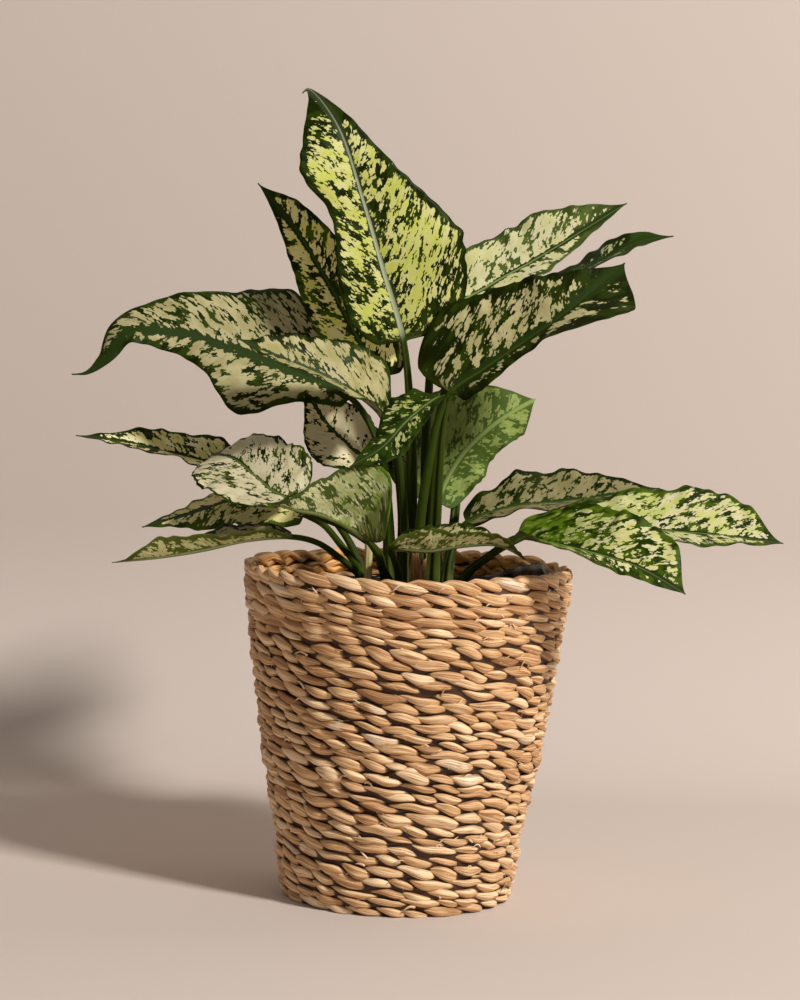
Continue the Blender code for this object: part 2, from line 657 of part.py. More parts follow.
def blade_offset(leaf, side, share, reach):
    """Where a point of the blade lies from the midrib, as (across, up, along).

    side is -1 for the left half and 1 for the right, reach runs from 0 at the midrib to 1.
    """
    half = leaf.left if side < 0 else leaf.right
    width = max(half_width(half, share), TIP_HALF_WIDTH)
    inner, outer = half_lift(half, share)
    middle = inner + (outer - inner) * reach / 2
    across = width * reach * math.cos(middle)
    up = width * reach * math.sin(middle)
    height, cycles, phase = leaf.wave
    swell = math.sin(math.pi * min(1.0, share * 1.15)) if share < 0.86 else 0.0
    ripple = math.sin(2 * math.pi * (cycles * share + phase + 0.2 * side))
    up += height * CM * swell * ripple * reach ** 2
    along = -leaf.lobe * CM * reach * max(0.0, 1 - share / 0.35) ** 2
    return side * across, up, along


def stalk_radius(share):
    if share < 0.3:
        return STALK_RADIUS_FOOT + (STALK_RADIUS_MIDDLE - STALK_RADIUS_FOOT) * share / 0.3
    return STALK_RADIUS_MIDDLE + (STALK_RADIUS_TOP - STALK_RADIUS_MIDDLE) * (share - 0.3) / 0.7


def stalk_section(centre, across, up, radius):
    """Ten points round the stalk, five over the upper side and five under it."""
    upper, lower = [], []
    for step in (-2, -1, 0, 1, 2):
        angle = math.radians(36 * step)
        side = across * (math.sin(angle) * radius)
        upper.append(centre + side + up * (math.cos(angle) * radius))
        lower.append(centre + side - up * (math.cos(angle) * radius))
    return upper, lower


def blade_section(leaf, centre, across, up, along, share):
    """Ten points round the blade: five columns from the left margin to the right one."""
    rib = MIDRIB_RADIUS_START * (1 - share) ** 1.2
    upper, lower = [], []
    for step in (-2, -1, 0, 1, 2):
        side = -1 if step < 0 else 1
        reach = abs(step) / 2
        out, rise, forward = blade_offset(leaf, side, share, reach)
        inner, outer = half_lift(leaf.left if side < 0 else leaf.right, share)
        tilt = (inner + (outer - inner) * reach) * side if step else 0.0
        normal = up * math.cos(tilt) - across * math.sin(tilt)
        thickness = MARGIN_HALF_THICKNESS if reach == 1 else BLADE_HALF_THICKNESS
        below = thickness if step else max(thickness, rib)
        point = centre + across * out + up * rise + along * forward
        upper.append(point + normal * thickness)
        lower.append(point - normal * below)
    return upper, lower


def placed(point):
    """A point of the plant, given in centimetres, where the leaning basket carries it."""
    return Vector(point) * CM + PLANT_SHIFT


def root_place(leaf):
    """Where the leaf's stalk meets the soil, as (x, y)."""
    spot = placed((*leaf.root, 0.0))
    return spot.x, spot.y


def leaf_sections(leaf):
    """The leaf's cross-sections, from the root in the soil to the tip."""
    collar = Vector((*root_place(leaf), COLLAR_HEIGHT))
    blade = [placed(point) for point in leaf.blade]
    stalk = [collar] + [placed(point) for point in leaf.stalk] + blade[:1]
    line = smooth_curve(stalk + blade[1:])
    joint = (len(stalk) - 1) * CURVE_STEPS
    stalk_line, blade_line = line[:joint + 1], line[joint:]
    faces = [Vector(face).normalized() for face in leaf.faces]

    sections = []
    for index in range(BLADE_STATIONS):
        even = index / (BLADE_STATIONS - 1)
        eased = (1 - math.cos(math.pi * even)) / 2
        share = even + (eased - even) * STATION_EASING
        centre, along = place_along(blade_line, share)
        face = blend_three(faces, share)
        up = (face - along * face.dot(along)).normalized()
        across = along.cross(up)
        if index == 0:
            joint_frame = (along, up)
            sections.append(stalk_section(centre, across, up, STALK_RADIUS_TOP))
        else:
            sections.append(blade_section(leaf, centre, across, up, along, share))

    along_before, up = joint_frame
    foot_sections = []
    for index in range(STALK_STATIONS - 1, -1, -1):
        share = index / STALK_STATIONS
        centre, along = place_along(stalk_line, share)
        up = along_before.rotation_difference(along) @ up
        up = (up - along * up.dot(along)).normalized()
        along_before = along
        foot_sections.append(stalk_section(centre, along.cross(up), up, stalk_radius(share)))
    down = along_before.rotation_difference(Vector((0, 0, 1))) @ up
    root_across = Vector((0, 0, 1)).cross(down).normalized()
    root = Vector((*root_place(leaf), COLLAR_HEIGHT - ROOT_DEPTH))
    foot_sections.append(stalk_section(root, root_across, down.normalized(), STALK_RADIUS_FOOT))
    return foot_sections[::-1] + sections


def split_quad(mesh, corners, mirrored):
    """Adds a four-cornered patch as two triangles, split along one diagonal or the other."""
    a, b, c, d = corners
    if mirrored:
        mesh.faces.new((a, b, d))
        mesh.faces.new((b, c, d))
    else:
        mesh.faces.new((a, b, c))
        mesh.faces.new((a, c, d))


def build_leaf(leaf, collection):
    """A leaf in one piece: a loft from the round stalk into the thin, folded and waved blade.

    Both faces of the blade are split into triangles alike, so that they never cross.
    """
    mesh = bmesh.new()
    rows = [([mesh.verts.new(point) for point in upper], [mesh.verts.new(point) for point in lower])
            for upper, lower in leaf_sections(leaf)]
    for (upper, lower), (next_upper, next_lower) in zip(rows, rows[1:]):
        for column in range(4):
            mirrored = column < 2
            right = column + 1
            split_quad(mesh, (upper[column], upper[right], next_upper[right], next_upper[column]),
                       mirrored)
            split_quad(mesh, (lower[right], lower[column], next_lower[column], next_lower[right]),
                       not mirrored)
        split_quad(mesh, (lower[0], upper[0], next_upper[0], next_lower[0]), False)
        split_quad(mesh, (upper[4], lower[4], next_lower[4], next_upper[4]), False)
    first_upper, first_lower = rows[0]
    last_upper, last_lower = rows[-1]
    mesh.faces.new(first_lower + first_upper[::-1])
    mesh.faces.new(last_upper + last_lower[::-1])
    bmesh.ops.recalc_face_normals(mesh, faces=mesh.faces)
    data = bpy.data.meshes.new(leaf.name)
    mesh.to_mesh(data)
    mesh.free()
    data.shade_smooth()
    material = make_material(leaf.name + "_green", leaf.colour, 0.45)
    return add_object(leaf.name, data, collection, material)


def build_stub(collection):
    """The stump of a cut-off stalk, pale and upright, cut on a slant at its top."""
    foot = COLLAR_HEIGHT - ROOT_DEPTH
    bpy.ops.mesh.primitive_cylinder_add(
        vertices=STUB_SIDES, radius=STUB_RADIUS, depth=STUB_TOP - foot,
        location=(*STUB_PLACE, (STUB_TOP + foot) / 2))
    stub = bpy.context.object
    for owner in list(stub.users_collection):
        owner.objects.unlink(stub)
    stub.name = "cut_stalk_stub"
    stub.data.materials.append(make_material("pale_stalk", (0.52, 0.48, 0.20), 0.6))
    collection.objects.link(stub)
    for vertex in stub.data.vertices:
        if vertex.co.z > 0:
            vertex.co.z -= (vertex.co.x + STUB_RADIUS) * STUB_CUT_SLOPE
    return stub


def sheath_rule(point):
    """The sheath's papery top is torn, and flares on one side."""
    angle = math.atan2(point.y, point.x)
    share = point.z / SHEATH_HEIGHT
    torn = 0.0040 * math.sin(3 * angle + 1) + 0.0015 * math.sin(7 * angle)
    flare = 1 + 0.16 * share * (1 + math.sin(angle * 2 + 2))
    return Vector((point.x * flare, point.y * flare, point.z + torn * share ** 2))


def build_sheath(collection, place):
    """The dry sheath: an open papery tube round the foot of one stalk."""
    outer = SHEATH_INNER_RADIUS + SHEATH_THICKNESS
    levels = (0.0, 0.4, 0.75, 1.0)
    inside = [(SHEATH_INNER_RADIUS, level * SHEATH_HEIGHT) for level in levels]
    outside = [(outer, level * SHEATH_HEIGHT) for level in reversed(levels)]
    profile = inside + outside
    material = make_material("dry_sheath_brown", (0.25, 0.11, 0.045), 0.8)
    sheath = turned_object("dry_sheath", profile, SHEATH_STEPS, collection, material)
    move_points(sheath, sheath_rule)
    sheath.location = (*place, SHEATH_FOOT)
    return sheath


def main():
    clear_scene()
    collection = make_collection(OBJECT_NAME)
    helpers = make_collection("hole_cutters")
    helpers.hide_render = True
    build_basket(collection)
    build_liner(collection)
    stalks = [(root_place(leaf), STALK_RADIUS_FOOT) for leaf in LEAVES]
    stalks.append((STUB_PLACE, STUB_RADIUS))
    build_soil(collection, helpers, stalks)
    for leaf in LEAVES:
        build_leaf(leaf, collection)
    build_stub(collection)
    sheathed = next(leaf for leaf in LEAVES if leaf.name == "leaf_front_centre")
    build_sheath(collection, root_place(sheathed))


if __name__ == "__main__":
    main()
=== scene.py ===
"""A potted chinese evergreen in a woven seagrass basket, dressed for its portrait.

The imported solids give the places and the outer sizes. Each class below builds one sub-assembly as
finer meshes and dresses it. Leaves are planned in centimetres, everything else is in metres, +Z is
up and -Y is the front.
"""

import logging
import math
from dataclasses import dataclass, field, fields
from enum import Enum

import bpy
import numpy as np
from mathutils import Matrix, Vector, noise


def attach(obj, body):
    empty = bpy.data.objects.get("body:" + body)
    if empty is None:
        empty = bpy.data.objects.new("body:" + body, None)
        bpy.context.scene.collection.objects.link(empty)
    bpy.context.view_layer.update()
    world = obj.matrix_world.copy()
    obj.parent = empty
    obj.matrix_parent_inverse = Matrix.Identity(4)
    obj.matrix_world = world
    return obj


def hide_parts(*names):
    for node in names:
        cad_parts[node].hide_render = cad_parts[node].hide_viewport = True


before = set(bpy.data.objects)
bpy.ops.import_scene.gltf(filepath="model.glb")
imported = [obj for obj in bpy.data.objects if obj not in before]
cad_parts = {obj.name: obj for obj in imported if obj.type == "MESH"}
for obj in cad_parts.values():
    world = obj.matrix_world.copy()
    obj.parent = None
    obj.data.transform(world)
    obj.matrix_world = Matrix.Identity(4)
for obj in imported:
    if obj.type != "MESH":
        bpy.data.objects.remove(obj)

LOG = logging.getLogger("chinese_evergreen")
BODY = "root"
CM = 0.01
BASKET_LEAN = 0.0024
PLANT_SHIFT = np.array([BASKET_LEAN, 0.0, 0.0])
COLLAR_HEIGHT = 0.2185
ROOT_DEPTH = 0.026

Colour = tuple[float, float, float]
Point = tuple[float, float, float]


@dataclass(frozen=True)
class LeafFinish:
    """How one leaf is coloured: colours are linear, widths are metres, the rest are plain shares."""

    cream: Colour = (0.46, 0.41, 0.21)
    warm_cream: Colour = (0.36, 0.31, 0.14)
    green: Colour = (0.024, 0.043, 0.001)
    deep_green: Colour = (0.008, 0.014, 0.0)
    rib: Colour = (0.050, 0.085, 0.012)
    under_green: Colour = (0.060, 0.080, 0.022)
    under_cream: Colour = (0.330, 0.320, 0.160)
    stalk: Colour = (0.030, 0.046, 0.003)
    # rib_side is the colour beside the midrib; the crown's grey one is a painted sheen.
    rib_side: Colour = (0.020, 0.036, 0.005)
    fleck: float = 1.0
    # base_light brightens the colour towards the base: painted light over shade that falls there.
    base_light: float = 0.0
    # base_glow blends a bright green in towards the base: painted light shining through the leaf.
    base_glow: float = 0.0
    cover: float = 0.0
    border: float = 0.0045
    rib_width: float = 0.0010
    rib_band: float = 0.0020
    tip_green: float = 0.15
    base_green: float = 0.15
    blush: float = 0.0
    streaks: float = 1.0


class LeafLook(Enum):
    """The colourings that the leaves of this plant show. Several are lighter and darker copies of one colouring:
    painted light and painted shade for how the light falls on each leaf.
    """

    # CROWN's grey rib_side is a painted sheen beside the midrib.
    CROWN = LeafFinish(
        cream=(0.60, 0.580, 0.245), warm_cream=(0.54, 0.54, 0.14), green=(0.020, 0.037, 0.001),
        rib_side=(0.036, 0.048, 0.018), fleck=1.2,
        rib=(0.36, 0.40, 0.24), rib_width=0.0017, cover=-0.004, border=0.0060, rib_band=0.0020,
        tip_green=0.30, blush=0.35)
    CREAM = LeafFinish(cream=(0.41, 0.365, 0.175), warm_cream=(0.33, 0.29, 0.12), cover=0.045)
    # Painted light: cream near white, to paint out the shadow that the arch casts on this leaf.
    BRIGHT = LeafFinish(
        cream=(0.95, 0.84, 0.53), warm_cream=(0.88, 0.77, 0.45), cover=0.055, border=0.0030, rib_band=0.0010,
        rib_width=0.0008, green=(0.034, 0.058, 0.003), fleck=1.25)
    # Painted light: cream brightened to paint out the shade on this leaf.
    VIVID = LeafFinish(
        cream=(0.84, 0.77, 0.42), warm_cream=(0.68, 0.63, 0.22), cover=0.005, border=0.0026,
        green=(0.022, 0.040, 0.001), deep_green=(0.008, 0.014, 0.0), fleck=1.1)
    # Painted shade: a darker copy of the cream colouring, for a leaf that lies in shade.
    DIM = LeafFinish(
        cream=(0.245, 0.215, 0.100), warm_cream=(0.20, 0.175, 0.072), cover=0.020, border=0.0040,
        green=(0.014, 0.025, 0.0), deep_green=(0.005, 0.009, 0.0), under_cream=(0.24, 0.22, 0.10),
        under_green=(0.035, 0.050, 0.010))
    # BANDED's base_light is painted light near the base, over the shadow that the crown casts.
    BANDED = LeafFinish(
        cream=(0.42, 0.375, 0.195), warm_cream=(0.34, 0.30, 0.14), cover=0.022, rib=(0.020, 0.040, 0.003),
        rib_band=0.0045, border=0.0056, base_light=0.20, tip_green=0.08)
    # Painted light: cream brightened, and base_light raised, to paint out the shade on this leaf.
    OLIVE = LeafFinish(
        cream=(0.84, 0.76, 0.33), warm_cream=(0.76, 0.73, 0.17), cover=0.016, green=(0.055, 0.090, 0.002),
        base_light=0.5)
    # Painted light: cream brightened to paint out the shadow of the leaves above.
    SHADOWED = LeafFinish(
        cream=(0.82, 0.74, 0.38), warm_cream=(0.74, 0.67, 0.26), cover=0.035, green=(0.075, 0.120, 0.004),
        deep_green=(0.030, 0.050, 0.001))
    PALE = LeafFinish(
        cream=(0.60, 0.54, 0.35), warm_cream=(0.52, 0.46, 0.27), cover=0.045, border=0.0022,
        green=(0.045, 0.070, 0.004), rib=(0.10, 0.15, 0.03), rib_band=0.0012, fleck=1.3, under_cream=(0.46, 0.42, 0.27))
    # Painted light: a brighter copy, greens too, for a leaf in full light.
    SUNLIT = LeafFinish(
        cream=(0.63, 0.59, 0.355), warm_cream=(0.58, 0.54, 0.27), cover=0.040, border=0.0042,
        green=(0.080, 0.115, 0.022), deep_green=(0.045, 0.068, 0.012), tip_green=0.42, rib=(0.20, 0.26, 0.08),
        blush=0.15)
    DARK = LeafFinish(
        cream=(0.48, 0.43, 0.22), warm_cream=(0.40, 0.36, 0.16), green=(0.020, 0.034, 0.001),
        deep_green=(0.008, 0.012, 0.0), rib=(0.045, 0.070, 0.006), cover=0.002, border=0.0095,
        rib_band=0.0050, tip_green=0.42, base_green=0.40, fleck=0.95)
    DEEP = LeafFinish(
        cream=(0.42, 0.44, 0.20), green=(0.028, 0.055, 0.006), deep_green=(0.010, 0.020, 0.002),
        cover=-0.060, border=0.0060, tip_green=0.3)
    # base_glow here is painted light shining through the leaf near its base.
    FRESH = LeafFinish(
        cream=(0.63, 0.56, 0.37), warm_cream=(0.53, 0.51, 0.22), green=(0.048, 0.082, 0.002),
        deep_green=(0.014, 0.027, 0.002), rib=(0.16, 0.22, 0.05), cover=0.000, border=0.0050,
        rib_band=0.0012, base_green=0.30, blush=0.35, base_glow=0.35, fleck=1.1)
    # base_glow here is painted light shining through the leaf near its base.
    GLOWING = LeafFinish(
        cream=(0.62, 0.57, 0.33), warm_cream=(0.55, 0.52, 0.20), green=(0.045, 0.085, 0.001),
        deep_green=(0.012, 0.024, 0.0), rib=(0.16, 0.22, 0.05), cover=-0.030, border=0.0055,
        rib_band=0.0012, base_green=0.62, blush=0.15, base_glow=0.75, fleck=1.15)
    # Painted shade: a darker copy, for a leaf in shade.
    SHADED = LeafFinish(
        cream=(0.34, 0.35, 0.14), warm_cream=(0.30, 0.32, 0.09), green=(0.020, 0.040, 0.001),
        deep_green=(0.006, 0.013, 0.0), rib=(0.12, 0.17, 0.04), cover=-0.060, border=0.0035,
        rib_band=0.0012, base_green=0.42, blush=0.15, fleck=1.2)
    # Painted light: bright greens for light shining through the leaf from behind.
    BACKLIT = LeafFinish(
        cream=(0.34, 0.44, 0.12), warm_cream=(0.26, 0.38, 0.07), green=(0.070, 0.140, 0.014),
        deep_green=(0.030, 0.065, 0.006), rib=(0.26, 0.34, 0.10), under_green=(0.060, 0.100, 0.014),
        under_cream=(0.27, 0.34, 0.09), cover=-0.02, border=0.003)
    GREY_UNDER = LeafFinish(
        under_green=(0.078, 0.100, 0.014), under_cream=(0.57, 0.54, 0.24), rib=(0.30, 0.34, 0.15), cover=0.015,
        fleck=1.3)
    # base_glow here is painted light shining through the leaf near its base.
    CUPPED = LeafFinish(
        under_green=(0.065, 0.095, 0.018), under_cream=(0.64, 0.63, 0.33), rib=(0.30, 0.36, 0.12), cover=0.010,
        fleck=1.45, base_glow=0.7)


@dataclass(frozen=True)
class Half:
    """One side of a blade: its widths at sixths of the length, and how far it is lifted.

    A lift is an angle in degrees at the midrib and one at the margin. The lifts at the middle
    and the tip follow from the one at the base, unless they are given. lobe says how many
    centimetres the base reaches back past the stalk, where that differs from the leaf's own.
    """

    widths: tuple[float, ...]
    lift: tuple[float, float] = (12, 12)
    middle_lift: tuple[float, float] | None = None
    tip_lift: tuple[float, float] | None = None
    lobe: float | None = None


@dataclass(frozen=True)
class LeafPlan:
    """A leaf from the soil to its tip, in centimetres.

    faces says which way the upper side looks at the base, the middle and the tip.
    """

    name: str
    slot: str
    look: LeafLook
    root: tuple[float, float]
    stalk: tuple[Point, ...]
    blade: tuple[Point, ...]
    faces: tuple[Point, Point, Point]
    left: Half
    right: Half
    wave: tuple[float, float, float] = (0.16, 3.0, 0.0)
    lobe: float = 0.5
    girth: float = 1.0


LEAVES: tuple[LeafPlan, ...] = (
    LeafPlan(
        name="leaf_crown",
        slot="leaf_bright",
        look=LeafLook.CROWN,
        root=(0.1, 0.3),
        stalk=((0.1, 0.3, 26.0), (-0.1, 0.2, 32.0)),
        blade=((-0.8, 0.0, 38.4), (-2.3, -0.6, 43.2), (-3.9, -0.9, 48.2), (-5.6, -0.3, 52.8),
               (-7.4, 1.0, 55.2), (-7.95, 1.1, 55.5), (-8.25, 1.0, 55.2)),
        faces=((0.1, -1, 0), (0.05, -1, 0.1), (-0.1, -1, 0.5)),
        left=Half((3.4, 3.0, 2.45, 3.6, 2.2), (14, 2)),
        right=Half((5.5, 5.75, 3.9, 2.1, 0.8), (12, -4)),
        wave=(0.22, 3.5, 0.1),
        girth=1.5,
    ),
    LeafPlan(
        name="leaf_upper_left",
        slot="leaf_mid",
        look=LeafLook.OLIVE,
        root=(-0.4, 1.4),
        stalk=((-0.6, 1.4, 27.0), (-1.4, 1.3, 32.0)),
        blade=((-2.5, 1.6, 35.8), (-4.4, 2.0, 39.2), (-6.3, 2.4, 42.5), (-8.5, 3.0, 45.8),
               (-11.3, 4.2, 49.0)),
        faces=((-0.2, -0.95, 0.2), (-0.35, -0.85, 0.35), (-0.4, -0.7, 0.6)),
        left=Half((2.0, 2.4, 2.0, 1.4, 0.6)),
        right=Half((2.8, 3.2, 2.7, 2.0, 1.3)),
        girth=1.3,
    ),
    LeafPlan(
        name="leaf_left_arch",
        slot="leaf_pale",
        look=LeafLook.BANDED,
        root=(-1.2, 0.6),
        stalk=((-1.5, 1.1, 26.5), (-2.2, 1.6, 30.8)),
        blade=((-4.3, 2.0, 34.3), (-8.4, 2.0, 36.0), (-12.6, 2.0, 37.5), (-16.6, 1.8, 38.6),
               (-20.0, 1.2, 38.4), (-21.4, 0.8, 36.5), (-22.6, 0.5, 35.6), (-23.6, 0.3, 35.5)),
        faces=((0.2, -0.85, 0.5), (0.1, -0.85, 0.5), (-0.3, -0.7, 0.6)),
        left=Half((2.0, 4.3, 2.0, 1.3, 0.6), (6, -10), None, (-15, -50)),
        right=Half((5.0, 5.8, 4.3, 2.6, 1.1), (6, 4), None, (4, -30)),
        wave=(0.28, 3.0, 0.2),
        girth=1.25,
    ),
    LeafPlan(
        name="leaf_front_left",
        slot="leaf_pale",
        look=LeafLook.CREAM,
        root=(-0.3, -1.2),
        stalk=((-0.4, -1.3, 26.5), (-1.0, -1.5, 31.0)),
        blade=((-2.1, -2.0, 33.4), (-4.3, -3.1, 35.2), (-7.0, -3.7, 36.5), (-9.6, -4.2, 37.5),
               (-11.9, -4.5, 38.5)),
        faces=((-0.1, -0.45, 0.9), (-0.1, -0.45, 0.9), (-0.1, -0.45, 0.9)),
        left=Half((2.2, 2.4, 2.3, 1.8, 1.0), (24, 20)),
        right=Half((3.9, 3.3, 2.8, 2.2, 1.3), (32, 34)),
        lobe=1.0,
        girth=1.2,
    ),
    LeafPlan(
        name="leaf_left_inner",
        slot="leaf_pale",
        look=LeafLook.BRIGHT,
        root=(-1.4, 1.9),
        stalk=((-1.5, 2.2, 24.5), (-1.8, 2.6, 27.0)),
        blade=((-2.8, 3.0, 29.6), (-4.4, 3.3, 30.9), (-5.9, 3.9, 32.2), (-7.0, 4.4, 33.7),
               (-8.1, 5.0, 35.1)),
        faces=((-0.1, -1, 0.3), (-0.1, -1, 0.3), (-0.1, -1, 0.4)),
        left=Half((1.6, 2.4, 2.2, 1.3, 0.5)),
        right=Half((2.2, 2.6, 2.4, 1.8, 1.0)),
        girth=1.4,
    ),
    LeafPlan(
        name="leaf_front_centre",
        slot="leaf_mid",
        look=LeafLook.SHADED,
        root=(0.6, -2.6),
        stalk=((0.7, -2.6, 26.4), (1.1, -2.7, 29.8), (1.5, -2.9, 32.6)),
        blade=((2.0, -3.2, 34.9), (0.8, -4.8, 34.4), (-0.5, -6.2, 33.3), (-2.0, -7.6, 31.7),
               (-4.1, -8.6, 30.4)),
        faces=((-0.5, -0.5, 0.7), (-0.35, -0.5, 0.8), (0, -0.6, 0.8)),
        left=Half((0.8, 1.0, 1.3, 1.4, 0.9), (-20, -30)),
        right=Half((1.9, 2.1, 1.6, 1.1, 0.7), (20, 30)),
        wave=(0.08, 2.5, 0.0),
        girth=1.35,
    ),
    LeafPlan(
        name="leaf_far_left",
        slot="leaf_mid",
        look=LeafLook.VIVID,
        root=(-2.8, 0.5),
        stalk=((-3.4, 0.7, 23.0), (-4.6, 1.4, 25.0), (-7.0, 3.6, 27.2)),
        blade=((-9.7, 5.5, 27.9), (-12.9, 5.5, 28.9), (-16.3, 5.5, 29.7), (-20.0, 5.5, 30.5),
               (-23.8, 5.5, 30.9)),
        faces=((0.1, -0.35, 0.93), (0.1, -0.35, 0.93), (0.1, -0.35, 0.93)),
        left=Half((1.9, 2.3, 1.9, 1.3, 0.7), (18, 18)),
        right=Half((1.8, 2.4, 2.2, 1.7, 0.9), (24, 24)),
    ),
    LeafPlan(
        name="leaf_left_broad",
        slot="leaf_pale",
        look=LeafLook.PALE,
        root=(-1.6, -0.6),
        stalk=((-2.0, -1.2, 23.8), (-4.0, -3.0, 25.6), (-6.6, -5.1, 26.9)),
        blade=((-8.2, -5.0, 27.8), (-9.4, -4.1, 28.3), (-10.6, -2.8, 29.1), (-12.2, -0.9, 30.1),
               (-13.9, 1.4, 30.2)),
        faces=((0.1, -0.4, 0.9), (-0.1, -0.45, 0.85), (-0.3, -0.2, 0.9)),
        left=Half((2.9, 3.4, 3.5, 3.5, 2.6), (5, -6)),
        right=Half((3.6, 3.65, 3.2, 2.5, 1.6), (24, 24)),
        wave=(0.12, 3.0, 0.3),
    ),
    LeafPlan(
        name="leaf_left_cupped",
        slot="leaf_pale",
        look=LeafLook.CUPPED,
        root=(-1.2, -2.0),
        stalk=((-1.8, -3.6, 23.2), (-2.1, -6.2, 24.4)),
        blade=((-2.9, -7.2, 25.5), (-4.2, -7.2, 26.3), (-6.0, -7.2, 27.0), (-7.7, -7.4, 27.3),
               (-9.6, -7.6, 27.8)),
        faces=((0, -0.1, 1), (0, -0.1, 1), (0, -0.1, 1)),
        left=Half((4.8, 4.5, 2.9, 1.8, 0.9), (78, 90)),
        right=Half((3.5, 3.3, 2.5, 1.7, 0.9), (50, 66)),
        wave=(0.08, 2.0, 0.2),
        lobe=0.9,
        girth=1.2,
    ),
    LeafPlan(
        name="leaf_low_front",
        slot="leaf_pale",
        look=LeafLook.GREY_UNDER,
        root=(-0.6, -3.2),
        stalk=((-0.7, -4.4, 23.0), (-1.0, -5.9, 24.1)),
        blade=((-1.2, -6.6, 24.8), (1.4, -7.0, 24.8), (3.7, -7.0, 25.2), (6.1, -6.5, 25.2),
               (8.2, -6.0, 24.1)),
        faces=((0, -0.1, 1), (0, -0.1, 1), (0, -0.2, 1)),
        left=Half((2.2, 2.5, 2.1, 1.6, 0.9), (30, 40)),
        right=Half((1.6, 1.6, 1.4, 1.2, 0.8), (72, 84)),
        wave=(0.08, 2.0, 0.4),
        lobe=0.5,
    ),
    LeafPlan(
        name="leaf_right_inner",
        slot="leaf_mid",
        look=LeafLook.BACKLIT,
        root=(1.9, 2.2),
        stalk=((1.9, 2.8, 23.2), (1.8, 3.9, 25.0)),
        blade=((1.9, 5.0, 26.9), (3.4, 5.8, 30.1), (5.3, 6.5, 32.1), (7.1, 7.1, 33.4),
               (8.7, 8.0, 34.3)),
        faces=((0.1, 0.95, 0.1), (0.1, 0.95, 0.1), (0.1, 0.95, 0.1)),
        left=Half((1.9, 2.3, 1.9, 1.8, 1.8), (8, 22)),
        right=Half((3.3, 4.4, 4.6, 3.8, 1.9), (8, 18)),
        wave=(0.2, 3.0, 0.0),
        girth=1.7,
    ),
    LeafPlan(
        name="leaf_right_arch",
        slot="leaf_dark",
        look=LeafLook.DARK,
        root=(1.6, -1.4),
        stalk=((1.7, -1.5, 26.5), (1.8, -1.6, 30.0), (2.0, -1.8, 33.0)),
        blade=((2.5, -2.0, 35.1), (4.7, -2.3, 36.8), (7.4, -2.6, 38.8), (10.3, -2.8, 41.0),
               (14.1, -1.2, 44.3)),
        faces=((-0.2, -0.92, 0.4), (-0.2, -0.8, 0.55), (-0.1, -0.85, 0.5)),
        left=Half((5.4, 4.9, 4.2, 3.3, 1.7), (8, 6)),
        right=Half((2.0, 1.4, 1.6, 2.7, 3.5), (30, 30), (42, 40), (8, -8), lobe=0.1),
        wave=(0.14, 3.0, 0.5),
        lobe=1.4,
        girth=1.75,
    ),
    LeafPlan(
        name="leaf_upper_right",
        slot="leaf_pale",
        look=LeafLook.SUNLIT,
        root=(1.0, 1.2),
        stalk=((1.0, 1.3, 27.0), (1.0, 1.9, 34.0)),
        blade=((1.7, 3.5, 39.9), (5.0, 5.0, 42.3), (8.2, 6.0, 44.2), (11.3, 6.7, 46.2),
               (14.7, 8.0, 48.4)),
        faces=((-0.25, -0.75, 0.6), (-0.25, -0.75, 0.6), (-0.2, -0.8, 0.5)),
        left=Half((3.2, 3.5, 3.4, 3.0, 1.9), (8, 6)),
        right=Half((2.6, 2.7, 1.9, 1.05, 0.55), (10, 8)),
        wave=(0.2, 3.0, 0.6),
        girth=1.4,
    ),
    LeafPlan(
        name="leaf_right_slim",
        slot="leaf_dark",
        look=LeafLook.DEEP,
        root=(1.4, 0.0),
        stalk=((1.5, 0.1, 28.0), (2.2, 0.5, 35.5)),
        blade=((4.4, 1.0, 40.4), (7.4, 1.4, 42.1), (10.4, 1.5, 43.1), (12.9, 1.6, 44.5),
               (15.2, 1.8, 45.75), (17.6, 2.0, 46.2)),
        faces=((-0.1, -0.1, 1), (-0.1, -0.05, 1), (-0.1, -0.8, 0.6)),
        left=Half((1.7, 1.9, 1.5, 1.7, 0.9), (10, 12), None, (16, 18)),
        right=Half((1.7, 2.2, 1.6, 1.4, 0.6), (14, 16)),
        girth=1.4,
    ),
    LeafPlan(
        name="leaf_right_long",
        slot="leaf_mid",
        look=LeafLook.DIM,
        root=(2.7, 0.9),
        stalk=((2.8, 1.3, 23.2), (3.2, 1.9, 24.6)),
        blade=((3.9, 2.2, 25.8), (7.1, 2.8, 27.0), (10.7, 3.9, 27.4), (14.3, 4.8, 27.9),
               (17.6, 5.5, 28.4)),
        faces=((0, -0.35, 0.93), (0, -0.35, 0.93), (0, -0.35, 0.93)),
        left=Half((2.1, 2.9, 2.9, 2.4, 1.5), (24, 26)),
        right=Half((2.0, 2.5, 2.4, 1.8, 0.9), (18, 18)),
        wave=(0.22, 4.0, 0.1),
        lobe=0.2,
        girth=1.3,
    ),
    LeafPlan(
        name="leaf_right_front",
        slot="leaf_mid",
        look=LeafLook.GLOWING,
        root=(3.5, -2.6),
        stalk=((4.0, -3.1, 22.9), (5.4, -4.5, 24.3)),
        blade=((7.2, -5.4, 25.7), (9.3, -7.0, 25.6), (12.4, -9.0, 25.15), (15.2, -10.0, 24.45),
               (18.2, -11.0, 22.9)),
        faces=((-0.1, -0.75, 0.65), (-0.1, -0.75, 0.65), (-0.1, -0.75, 0.65)),
        left=Half((2.8, 3.7, 3.6, 3.4, 2.6), (8, 4)),
        right=Half((1.8, 2.0, 1.8, 1.4, 0.8), (70, 96), None, (14, 0)),
        wave=(0.18, 3.0, 0.7),
        girth=1.2,
    ),
    LeafPlan(
        name="leaf_far_right",
        slot="leaf_pale",
        look=LeafLook.FRESH,
        root=(3.6, -1.2),
        stalk=((4.2, -1.3, 22.9), (5.8, -1.5, 24.2), (8.3, -1.6, 25.6)),
